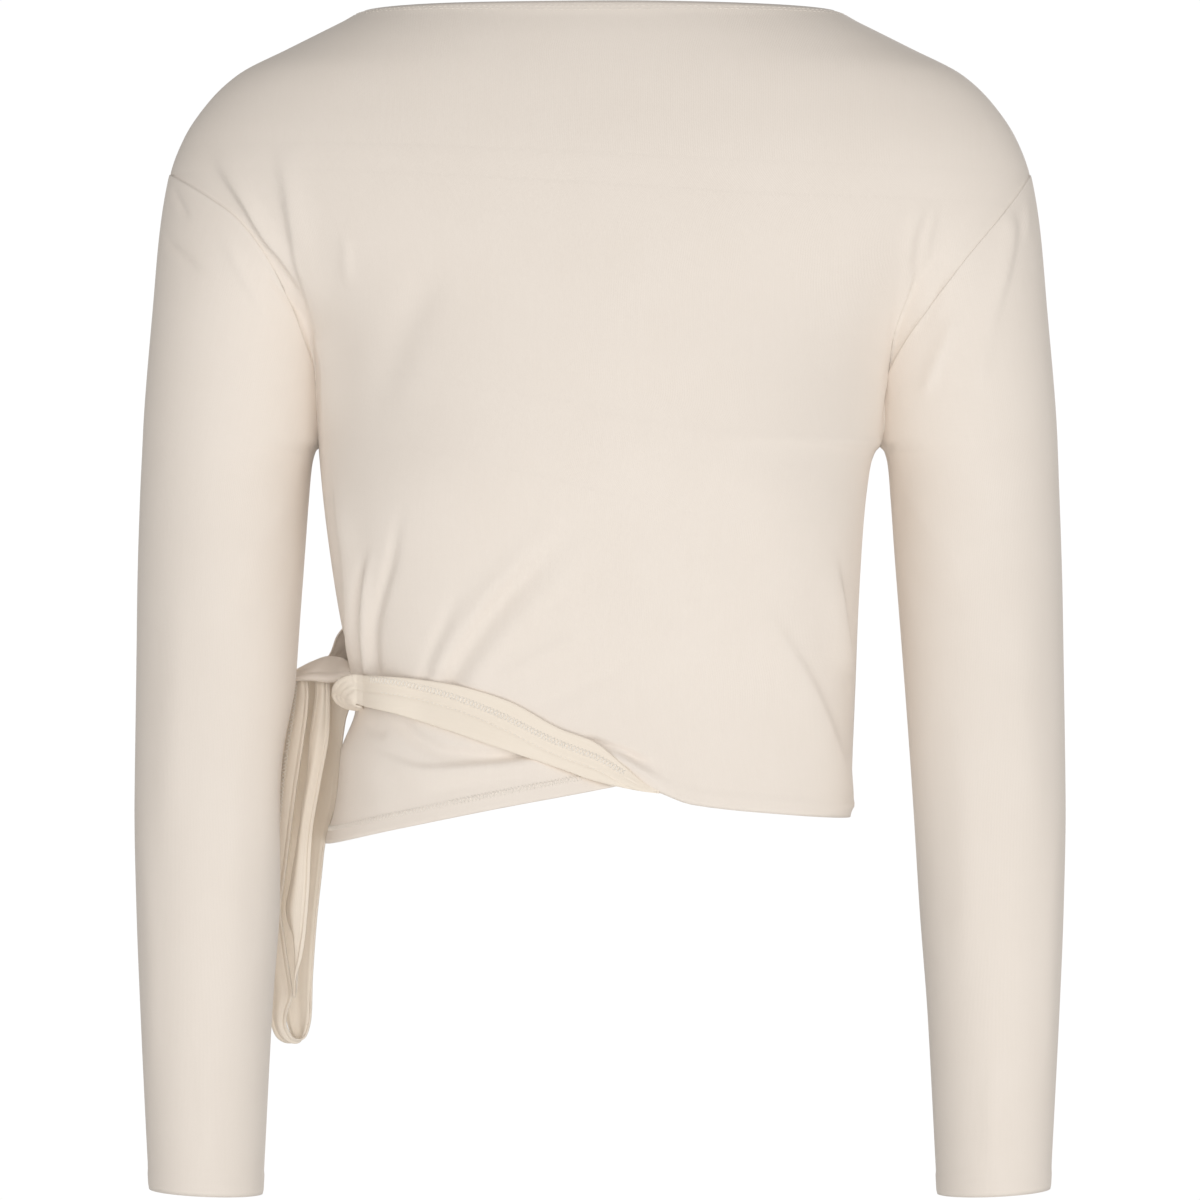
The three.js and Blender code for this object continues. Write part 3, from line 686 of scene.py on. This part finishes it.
sleeve_plain, plain_skin = sleeve("sleeve_plain", 1, "sleeve_plain_side", 4)
sleeve_knot, knot_skin = sleeve("sleeve_knot", -1, "sleeve_knot_side", 7)

# %% [markdown]
# ## The turned-up hem
# Towards the knot the front's hem is rolled up, so that the wrong side with its looped stitching
# shows. Its lower edge is a soft fold and its upper edge is the hem's own edge, which stands proud
# of the front. Both are drawn on the front's surface and lifted off it.

# %% Tie band
BAND = table(
    "at top bottom",
    (-1, -363.5, -379.5), (-0.82, -364.5, -385), (-0.6, -368, -393.5), (-0.385, -376, -403),
    (-0.155, -392, -413.7), (-0.022, -399, -420.5), (0.086, -411, -424), (0.17, -421, -426),
    (0.235, -426.2, -427),
)
ROLL_HEIGHT, CURL_DEPTH, PULLED_FORWARD = 2.3, 3.2, 11
at = np.linspace(-0.95, 0.23, 230)[:, None]
down = np.linspace(0, 1.16, 46)[None, :]
share = np.minimum(down, 1)
top, bottom = values(BAND, "at", at)
tall = top - bottom
d = share * tall
z = top - d
base = body_points(at + 0 * z, z, "front")
normals = normals_of(base, 1)
# Proud at the hem's edge, level over the doubled hem, a step at the stitching, then the rolled fold.
hem_line = (0.2 + 0.24 * ease(-0.95, -0.2, at)) * tall
roll = np.sqrt(np.clip(1 - ((share - 0.52) / 0.5) ** 2, 0, 1))
height = 1.5 + 0.5 * ease(0, 1.2, d) + ROLL_HEIGHT * roll * ease(0.1, 0.9, down)
height = height - 0.5 * ease(hem_line - 0.4, hem_line + 0.9, d)
height = height - 0.5 * bell(d - hem_line - 5, 0.7)
height = height + 0.5 * drift(at * 140, z, 46, 3) * ease(0, 0.3, down)
height = height * ease(0.235, 0.1, at) + 0.2 * ease(0.1, 0.235, at)
# Near the knot the band is raised forwards, not sideways, because the tie is pulled straight there.
normals[..., 0] *= 1 - 0.9 * ease(-0.6, -0.85, at)
normals /= np.linalg.norm(normals, axis=-1, keepdims=True)
band_grid = raised(base, normals, height)
band_grid[..., 1] -= PULLED_FORWARD * ease(-0.68, -0.98, at)
# Past the lower edge the fold curls in behind itself.
under_roll = down[0] > 1
curl = (down[0][under_roll] - 1) / 0.16
edge = band_grid[:, np.argmax(under_roll) - 1][:, None, :]
back_in = normals[:, np.argmax(under_roll) - 1][:, None, :]
band_grid[:, under_roll] = edge - back_in * (CURL_DEPTH * curl * ease(0.24, 0.1, at))[..., None]
band_grid[:, under_roll, 2] += 1.1 * curl**2 * ease(0.24, 0.1, at)
print("band stands off by mm:", round(float(height.max()), 1))

# %% [markdown]
# ## Where the band meets the knot
# At the knot the turned hem goes down and back round it in a fan, and its edge becomes the outer rib.
# The fan sweeps the band's first row round a centre and bends it away. Its first rows belong to the
# band and the rest is a sheet of its own, the ring, so the two follow one surface and meet exactly.

# %% The band's end
KNOT_X, KNOT_Z, KNOT_RADIUS, KNOT_DEPTH = -131.5, -380.3, 14.8, 25
LED_ROWS = 6
turn = np.linspace(90, 285, 100)[:, None]
a = np.radians(turn)
reach = 1 - 0.95 * share
high = np.where(np.sin(a) > 0, 11, 9.3)
round_knot = np.clip((turn - 90) / 85, 0, 1)
bent = KNOT_DEPTH * (0.3 * round_knot + 0.7 * round_knot**1.8) - 4 * ease(190, 285, turn)
grooves = sum(bell(share - s, 0.045) for s in (0.17, 0.35, 0.56))
end_run = band_grid[0] - band_grid[9]
tilt = np.clip(np.mean(end_run[:, 1] / end_run[:, 0]), -1, 0)
fan_x = KNOT_X + KNOT_RADIUS * reach * np.cos(a) + 2 * ease(150, 285, turn) * share
fan_y = band_grid[:1, :, 1] + tilt * (KNOT_X - band_grid[:1, :, 0]) + bent * reach**1.4
fan_y = fan_y + 1.2 * grooves * ease(95, 140, turn)
fan_grid = np.stack([fan_x, fan_y, KNOT_Z + reach * (5.8 + high * np.sin(a))], -1)
joining = np.linspace(0, 1, 16)[1:-1, None, None]
bridge = band_grid[:1] * (1 - joining) + fan_grid[:1] * joining
band_grid = np.concatenate([fan_grid[:LED_ROWS][::-1], bridge[::-1], band_grid])
print("band tilts %.2f where it meets the knot" % tilt)
band = cloth("tie_band_turned", band_grid, "tie_band", flip=True, wall=0.9)

# %% [markdown]
# ## The back's tie
# The back narrows into a tie of its own, which comes round the side in gathers. The cloth could be
# gathered by simulation, but what shows is short, so this is a sheet laid over the back. Its pleats
# grow towards the knot. Turn is the angle round the body in degrees, from the knot side.

# %% Back tie
BACK_TIE = table(
    "turn off top bottom",
    (56, 0.8, -346, -362), (51, 0.8, -335, -376), (44, 1.0, -326.5, -387), (36, 1.2, -325.5, -388.5),
    (28, 2.2, -329.5, -384), (20, 4.2, -335, -378.5), (12, 7.2, -343, -373), (7, 9.5, -350, -370),
    (3, 11.5, -354, -367),
)
turn = np.linspace(56, 3, 120)[:, None]
across = np.linspace(0, 1, 60)[None, :]
off, top, bottom = values(BACK_TIE, "turn", turn)
z = top + across * (bottom - top)
a = np.radians(turn)
base = np.stack([
    -(trunk_knot(z) + off) * np.cos(a), (depth_of["back"](z) + off) * np.sin(a) + 0 * z, z], -1)
normals = normals_of(base, 1)
gather = ease(50, 8, turn)
pleats = np.sin(across * 2 * np.pi * 1.7 + 0.8) + 0.35 * np.sin(across * 23 + turn * 0.05)
height = 1.2 + 1.1 * gather * pleats + 3.4 * gather * np.sin(np.pi * across)
height = height * (1 - ease(42, 55, turn)) + 0.3
back_tie = cloth("back_tie_gathered", raised(base, normals, height), "back_tie", flip=True, wall=0.9)

# %% [markdown]
# ## Knot
# In a knot one strip passes round the other, and only its outer folds show. On top is a cap: cloth
# folded over, with a rolled lip. It is drawn by a profile that goes from the back over the lip and in
# underneath, while its height and its lip's place change across the knot. The ring is below it.

# %% Knot
CAP = table(
    "x top bottom lip deep",
    (-170, -364.5, -366.4, 1, 7), (-166, -362, -366.6, -3, 11), (-158, -358, -366.4, -9, 15),
    (-149, -355.3, -367.2, -15, 20), (-143, -355.8, -366.6, -20, 22), (-139, -358, -364.8, -25, 22),
    (-135.5, -361.8, -364, -30, 18), (-133, -363.2, -364, -32, 12),
)
CAP_PROFILE = table(
    "at back drop",
    (0, 1, 0), (0.15, 0.8, 0.16), (0.35, 0.5, 0.4), (0.5, 0.3, 0.6), (0.6, 0.2, 0.72), (0.66, 0.13, 0.77),
    (0.72, 0.02, 0.84), (0.78, -0.03, 0.93), (0.84, 0, 1), (0.92, 0.12, 1.03), (1, 0.3, 1),
)
x = np.linspace(-170, -133.5, 80)[:, None]
round_over = np.linspace(0, 1, 50)[None, :]
top, bottom, lip, deep = values(CAP, "x", x)
set_back, drop = values(CAP_PROFILE, "at", round_over)
y = lip + deep * set_back
z = top + (bottom - top) * drop
over = np.sin(np.pi * np.minimum(round_over / 0.6, 1))
ripple = 0.7 * np.sin(x * 0.3 + 3 * round_over) * over
cap_grid = np.stack([x + 0 * z, y + ripple, z - ripple * 0.5], -1)
cap = cloth("knot_cap_fold", cap_grid, "knot_cap", wall=1.2)
ring = cloth("knot_ring_fold", fan_grid[LED_ROWS - 1:], "knot_ring")

# %% [markdown]
# ## The hanging loop
# Below the knot the tie hangs in a long loop, with a second end beside it. How a strip twists as it
# hangs is easiest to say by its two edges, so there is a row for each place along it, with a point on
# the left edge and a point on the right edge.

# %% Edges of the loop
LOOP = table(
    "left right",
    ((-169, 6, -362), (-160.5, 4, -362)), ((-171, 6, -367), (-160.5, 0, -367)),
    ((-172.5, 8, -375), (-160.3, -4, -375)), ((-175, 6, -387), (-161, -5, -387)),
    ((-178, 5, -400), (-162.7, -6, -400)), ((-181, 4, -419), (-165.6, -6, -419)),
    ((-182.5, 3, -436), (-168, -6, -436)), ((-184, 2.5, -455), (-170.4, -7, -455)),
    ((-185, 3, -475), (-173, -8, -475)), ((-186, 2, -493), (-175.4, -9, -493)),
    ((-186, 1, -507), (-173.4, -10, -507)), ((-186, 0, -521), (-171.2, -11, -522)),
    ((-183.5, -2, -540), (-168.8, -11, -540)), ((-182, -3, -550), (-171.3, -9.5, -549)),
    ((-180.3, -3, -558), (-172, -8, -555.5)), ((-177.5, -1, -564), (-170.5, -5, -560.5)),
    ((-173, 2, -567), (-167.5, -1.5, -564.5)), ((-169, 6, -566.5), (-162.8, 1.5, -564.5)),
    ((-172, 9.5, -559), (-159.6, 4.5, -557)), ((-177, 12, -530), (-158.2, 6, -530)),
    ((-177, 12, -500), (-156, 6, -500)), ((-175, 12, -477), (-153.5, 5, -477)),
    ((-172, 12, -457), (-151.2, 5, -457)), ((-170.5, 12, -447), (-148.6, 4.5, -447)),
    ((-169, 12, -436), (-145.6, 4, -436)), ((-168, 12, -423), (-144, 3.5, -423)),
    ((-167, 12, -411), (-142.8, 3, -411)), ((-164, 11, -390), (-140, 2, -390)),
    ((-165, 12, -377), (-137.5, 4, -379)), ((-165, 12, -362), (-142, 6, -362)),
)
TIE_END = table(
    "left right",
    ((-157, 2, -362), (-148.5, 2, -362)), ((-157, -2, -368), (-148.5, -2, -368)),
    ((-157, -3, -375), (-148.2, -3.5, -375)), ((-158.5, -6, -387), (-148.2, -7, -388)),
    ((-160.3, -9, -400), (-148.6, -11.5, -400)), ((-162, -10, -419), (-152, -14, -419)),
    ((-164.4, -10.5, -433), (-154.5, -15, -433)), ((-166.4, -11, -448), (-157, -15.5, -448)),
    ((-168.4, -12, -463), (-158.2, -16, -463)), ((-170.6, -13, -478), (-158.8, -16.5, -478)),
    ((-172.8, -14, -492), (-159.7, -17, -492)), ((-171.5, -14.5, -501), (-160.4, -17.5, -500)),
    ((-169.4, -14, -508), (-161.2, -18, -508)), ((-168.1, -14, -519), (-163, -18, -519)),
    ((-168.6, -15, -530), (-166, -17.5, -529)), ((-169.4, -15.5, -541), (-167.9, -16.5, -540.5)),
)
print("places along the loop and the end:", len(LOOP), len(TIE_END))

# %% [markdown]
# ## Strips
# A tie is a narrow flat strip with a hem along each edge. A smooth curve runs along either edge, and
# the cloth between the two bows a little, with a raised hem and the furrow of its stitching beside it.

# %% Strips


def strip(name, rows, count, node, bow, seed, tuck_left=0.0):
    """A narrow hemmed strip that bows outwards. A tucked edge rolls back out of the light."""
    left = smooth_path([row["left"] for row in rows], count)
    right = smooth_path([row["right"] for row in rows], count)
    s = np.linspace(0, 1, 34)[None, :]
    grid = left[:, None] * (1 - s[..., None]) + right[:, None] * s[..., None]
    width = np.linalg.norm(right - left, axis=1)[:, None]
    from_edge = np.minimum(s, 1 - s) * width
    narrow = np.clip(width / 8, 0, 1)
    along = np.linspace(0, 1, count)[:, None]
    height = bow * np.sin(np.pi * s) * narrow + 0.35 * (1 - ease(1.5, 2.1, from_edge)) * narrow
    height = height - 0.35 * bell(from_edge - 2.3, 0.5) * narrow
    height = height + 0.5 * np.sin(s * 9 + 4 * along + seed) * np.sin(np.pi * s) * narrow
    height = height - tuck_left * bell(s * width, 1.6)
    grid = raised(grid, normals_of(grid, -1), height)
    piece = cloth(name, grid, node, wall=1.1)
    return piece, (grid, normals_of(grid, -1))


loop, loop_skin = strip("loop_strip", LOOP, 420, "tie_loop", bow=1.2, seed=1)
tie_end, _ = strip("tie_end_strip", TIE_END, 200, "tie_end", bow=2.2, seed=2, tuck_left=3.0)

# %% [markdown]
# ## Stitching
# Hems are coverstitched: two rows of short straight stitches outside, and a looped zigzag inside that
# shows where the cloth is turned wrong side out. Each stitch is a little rounded length of thread that
# dips into the cloth at both ends, which catches the light better than a painted line.

# %% Thread


def line_on(grid, normals, distance, edge):
    """A line over a piece at a distance from one of its edges, with its normals."""
    order = {"top": slice(None), "bottom": slice(None, None, -1)}[edge]
    g, n = grid[order], normals[order]
    gone = run_along(g, 0)
    want = np.broadcast_to(np.asarray(distance, float), gone.shape[1:])
    at, out = np.zeros((g.shape[1], 3)), np.zeros((g.shape[1], 3))
    for k in range(3):
        at[:, k] = [np.interp(w, gone[:, c], g[:, c, k]) for c, w in enumerate(want)]
        out[:, k] = [np.interp(w, gone[:, c], n[:, c, k]) for c, w in enumerate(want)]
    return at, out


def evenly(line, out, gap):
    """Points on a line at even gaps, with their normals."""
    gone = run_along(line, 0)
    want = np.arange(0, gone[-1], gap)
    pick = lambda a: np.stack([np.interp(want, gone, a[:, k]) for k in range(3)], -1)
    return pick(line), pick(out)


threads = {"verts": [], "faces": []}


def stitch(a, b, out, thick=0.24):
    """One stitch from a to b: three four-sided rings, low at the ends."""
    way = (b - a) / max(np.linalg.norm(b - a), 1e-9)
    side = np.cross(way, out)
    start = len(threads["verts"])
    for share, size, lift in ((0, 0.55, -0.12), (0.5, 1, 0.14), (1, 0.55, -0.12)):
        centre = a + (b - a) * share + out * (lift + thick * 0.3)
        for c, s in ((1, 0), (0, 1), (-1, 0), (0, -1)):
            threads["verts"].append(centre + (side * c + out * s * 0.8) * thick * size)
    for ring_at in (0, 4):
        for k in range(4):
            i, j = start + ring_at + k, start + ring_at + (k + 1) % 4
            threads["faces"].append((i, j, j + 4, i + 4))
    threads["faces"] += [tuple(start + k for k in (3, 2, 1, 0)), tuple(start + 8 + k for k in range(4))]


def straight_row(line, out, length=2.3, gap=0.9):
    """Short stitches end to end, with a gap between them."""
    at, away = evenly(line, out, length + gap)
    for k in range(len(at) - 1):
        stitch(at[k], at[k] + (at[k + 1] - at[k]) * length / (length + gap), away[k])


def looped_row(line, out, width=3.6, step=2.0, thick=0.3):
    """Crossing stitches, as the loops of a coverstitch look from the wrong side."""
    at, away = evenly(line, out, step)
    way = np.gradient(at, axis=0)
    side = np.cross(way, away)
    side /= np.maximum(np.linalg.norm(side, axis=1, keepdims=True), 1e-9)
    for k in range(len(at) - 1):
        for half in (width / 2, -width / 2):
            stitch(at[k] + side[k] * half, at[k + 1] - side[k + 1] * half, away[k], thick)


# %% [markdown]
# ## Where the stitches run
# Each row is sewn at a set distance from its hem's edge. The distance is measured on the cloth, so a
# row stays beside its edge over every fold.

# %% Rows of stitches
NECK_ROWS, HEM_ROWS, CUFF_ROWS = (3.9, 6.0), (7.6, 9.8), (8.6, 10.8)


def both_rows(skin, distances, edge):
    """The two straight rows of a coverstitch. A skin is a piece's grid and its normals."""
    for distance in distances:
        straight_row(*line_on(*skin, distance, edge))


def closed_up(grid):
    """A tube's grid, with its first column once more at the end."""
    return np.concatenate([grid, grid[:, :1]], axis=1)


both_rows(front_skin, NECK_ROWS, "top")
both_rows(back_skin, NECK_ROWS, "top")
both_rows(back_skin, HEM_ROWS, "bottom")
looped_row(*line_on(*under_skin, 8.6, "bottom"), width=3.2, thick=0.2)
for skin in (plain_skin, knot_skin):
    both_rows([closed_up(part) for part in skin], CUFF_ROWS, "bottom")
print("stitches in hems:", len(threads["faces"]) // 10)

# %% [markdown]
# ## Stitches on the tie
# The tie shows the wrong side of its hems, so its rows are looped. On the band the row follows the
# hem's inner edge, with a straight row below it. On the loop the row wanders across the strip, since
# a hanging tie twists.

# %% Stitches on the tie
turned, turned_out = np.swapaxes(band_grid, 0, 1), np.swapaxes(normals_of(band_grid), 0, 1)
lead = len(band_grid) - len(hem_line)
hem_at = np.concatenate([np.full(lead, hem_line[0, 0]), hem_line[:, 0]])
line, out = line_on(turned, turned_out, hem_at - 1.6, "top")
looped_row(line[lead + 6:-24], out[lead + 6:-24])
line, out = line_on(turned, turned_out, hem_at + 5.2, "top")
straight_row(line[lead + 14:-40], out[lead + 14:-40], length=1.9, gap=0.8)


def along_strip(grid, normals, first, last, share_from, share_to):
    """A line down a strip, at a share of its width that changes along it."""
    rows = np.arange(first, last)
    cols = (grid.shape[1] - 1) * np.linspace(share_from, share_to, len(rows))
    low = np.minimum(cols.astype(int), grid.shape[1] - 2)
    f = (cols - low)[:, None]
    pick = lambda a: a[rows, low] * (1 - f) + a[rows, low + 1] * f
    return pick(grid), pick(normals)


looped_row(*along_strip(*loop_skin, 12, 100, 0.42, 0.52), width=4.0)
looped_row(*along_strip(*loop_skin, 345, 412, 0.86, 0.86), width=2.2, step=1.8)
print("stitches in all:", len(threads["faces"]) // 10)

# %% [markdown]
# ## One mesh of thread
# All stitches go into one mesh, because thousands of small objects would be slow and no one moves a
# stitch by itself. Thread isn't cloth, so it replaces no sheet of the frame.

# %% Mesh of thread
mesh = bpy.data.meshes.new("stitching")
mesh.from_pydata((np.array(threads["verts"]) * MM).tolist(), [], threads["faces"])
mesh.shade_smooth()
stitching = bpy.data.objects.new("stitching", mesh)
scene.collection.objects.link(stitching)
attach(stitching, "root")
pieces["stitching"] = stitching

# %% [markdown]
# ## Writing shader maths
# Shaders are sums on things that vary over the surface. A small class wraps a node's socket, so that
# the sums can be written as they are on paper and each one adds its own Math node.

# %% Shader helper


class Wire:
    def __init__(self, paint, socket):
        self.paint, self.socket = paint, socket

    def __add__(self, other):
        return self.paint.math("ADD", self, other)

    def __sub__(self, other):
        return self.paint.math("SUBTRACT", self, other)

    def __mul__(self, other):
        return self.paint.math("MULTIPLY", self, other)

    def __truediv__(self, other):
        return self.paint.math("DIVIDE", self, other)

    __radd__ = __add__


class Paint:
    def __init__(self, name):
        self.material = bpy.data.materials.new(name)
        self.material.use_nodes = True
        self.tree = self.material.node_tree
        self.shader = self.tree.nodes["Principled BSDF"]

    def node(self, kind, settings=None, **sockets):
        """Any node: its type, its settings, then values or wires for its sockets (_0 is the first)."""
        made = self.tree.nodes.new("ShaderNode" + kind)
        for key, value in (settings or {}).items():
            setattr(made, key, value)
        for key, value in sockets.items():
            self.set(made.inputs[int(key[1:]) if key[0] == "_" else key], value)
        return made

    def set(self, socket, value):
        if isinstance(value, Wire):
            self.tree.links.new(value.socket, socket)
        else:
            socket.default_value = value

    def out(self, made, name=0):
        return Wire(self, made.outputs[name])

    def math(self, operation, a, b=0.0):
        return self.out(self.node("Math", {"operation": operation}, _0=a, _1=b))

    def blend(self, share, a, b):
        made = self.node("Mix", {"data_type": "RGBA"}, _0=share, _6=a, _7=b)
        return self.out(made, 2)


# %% [markdown]
# ## Jersey
# Jersey is a fine knit. Its right side shows columns of small V shaped loops, and from a step away only
# a soft matt surface with faint streaks is left. The loops are worked out from the distances stored on
# the cloth, so they run along each piece. A little sheen stands for the fuzz on the yarn.

# %% Jersey
WALE, COURSE = 0.95, 0.72


def jersey(name, light, dark, loops, sheen=0.22):
    paint = Paint(name)
    place = paint.out(paint.node("Attribute", {"attribute_name": "knit"}), "Vector")
    parts = paint.node("SeparateXYZ", Vector=place)
    across, along = paint.out(parts, 0), paint.out(parts, 1)
    wale = paint.math("FRACT", across / WALE)
    slant = paint.math("ABSOLUTE", wale - 0.5)
    loop = paint.math("FRACT", along / COURSE + slant * 1.1)
    rib = paint.math("SINE", wale * math.pi)
    bead = paint.math("SINE", loop * math.pi)
    space = paint.out(paint.node("TexCoord"), "Object")
    fuzz = paint.out(paint.node("TexNoise", None, Vector=space, Scale=900.0, Detail=3.0), 0)
    cloudy = paint.out(paint.node("TexNoise", None, Vector=space, Scale=26.0, Detail=3.0), 0)
    stretched = paint.out(paint.node("Mapping", None, Vector=place, Scale=(0.9, 0.03, 1.0)), 0)
    streak = paint.out(paint.node("TexNoise", None, Vector=stretched, Scale=1.0, Detail=2.0), 0)
    tone = cloudy * 0.5 + streak * 0.35 + fuzz * 0.15
    colour = paint.blend(tone, light, dark)
    relief = rib * bead * loops + fuzz * 0.5 + streak * 0.25
    bump = paint.node("Bump", None, Strength=0.28, Distance=0.00022, Height=relief)
    paint.set(paint.shader.inputs["Base Color"], colour)
    paint.set(paint.shader.inputs["Roughness"], 0.78 + fuzz * 0.16)
    paint.set(paint.shader.inputs["Normal"], paint.out(bump))
    paint.shader.inputs["Sheen Weight"].default_value = sheen
    paint.shader.inputs["Sheen Roughness"].default_value = 0.45
    paint.shader.inputs["Specular IOR Level"].default_value = 0.25
    return paint.material


# %% [markdown]
# ## Three cloths from one recipe
# The right side, the wrong side that shows on the tie, and the thread differ only in tone and in how
# deep their loops are. Linear colours are given, each with a lighter and a darker tone to blend. The
# wrong side is darker and warmer, partly its own colour and partly painted shade for the tie and knot.

# %% Cloths
right_side = jersey("jersey_right_side", (0.885, 0.812, 0.738, 1), (0.835, 0.755, 0.675, 1), 0.9)
# The wrong side's tones are partly its own colour and partly painted shade: darker and warmer, as the
# band, ring, loop and tie end lie in shade.
wrong_side_painted_shade = jersey("jersey_wrong_side_painted_shade", (0.920, 0.835, 0.730, 1), (0.860, 0.765, 0.645, 1), 0.6)
thread = jersey("sewing_thread", (0.95, 0.90, 0.83, 1), (0.90, 0.84, 0.76, 1), 0.0, sheen=0.35)

for piece in (front, under, back, sleeve_plain, sleeve_knot, back_tie, cap):
    piece.data.materials.append(right_side)
for piece in (band, ring, loop, tie_end):
    piece.data.materials.append(wrong_side_painted_shade)
stitching.data.materials.append(thread)
print("materials:", [m.name for m in (right_side, wrong_side_painted_shade, thread)])

# %% [markdown]
# ## The floor's surface
# The floor is plain paper, matt and a little cloudy, so that nothing on it draws the eye.

# %% Floor paint
floor_paint = Paint("pale_floor")
grain = floor_paint.out(floor_paint.node("TexNoise", None, Scale=3.0, Detail=2.0), 0)
floor_paint.set(
    floor_paint.shader.inputs["Base Color"],
    floor_paint.blend(grain, (0.88, 0.88, 0.87, 1), (0.84, 0.84, 0.83, 1)),
)
floor_paint.shader.inputs["Roughness"].default_value = 0.7
floor.data.materials.append(floor_paint.material)
print("floor paint:", floor_paint.material.name)

# %% [markdown]
# ## The cloth's areas
# The area of each piece above is summed over its faces and printed.

# %% Sheets
for name, piece in pieces.items():
    print(name, "area in m2:", round(sum(face.area for face in piece.data.polygons), 4))
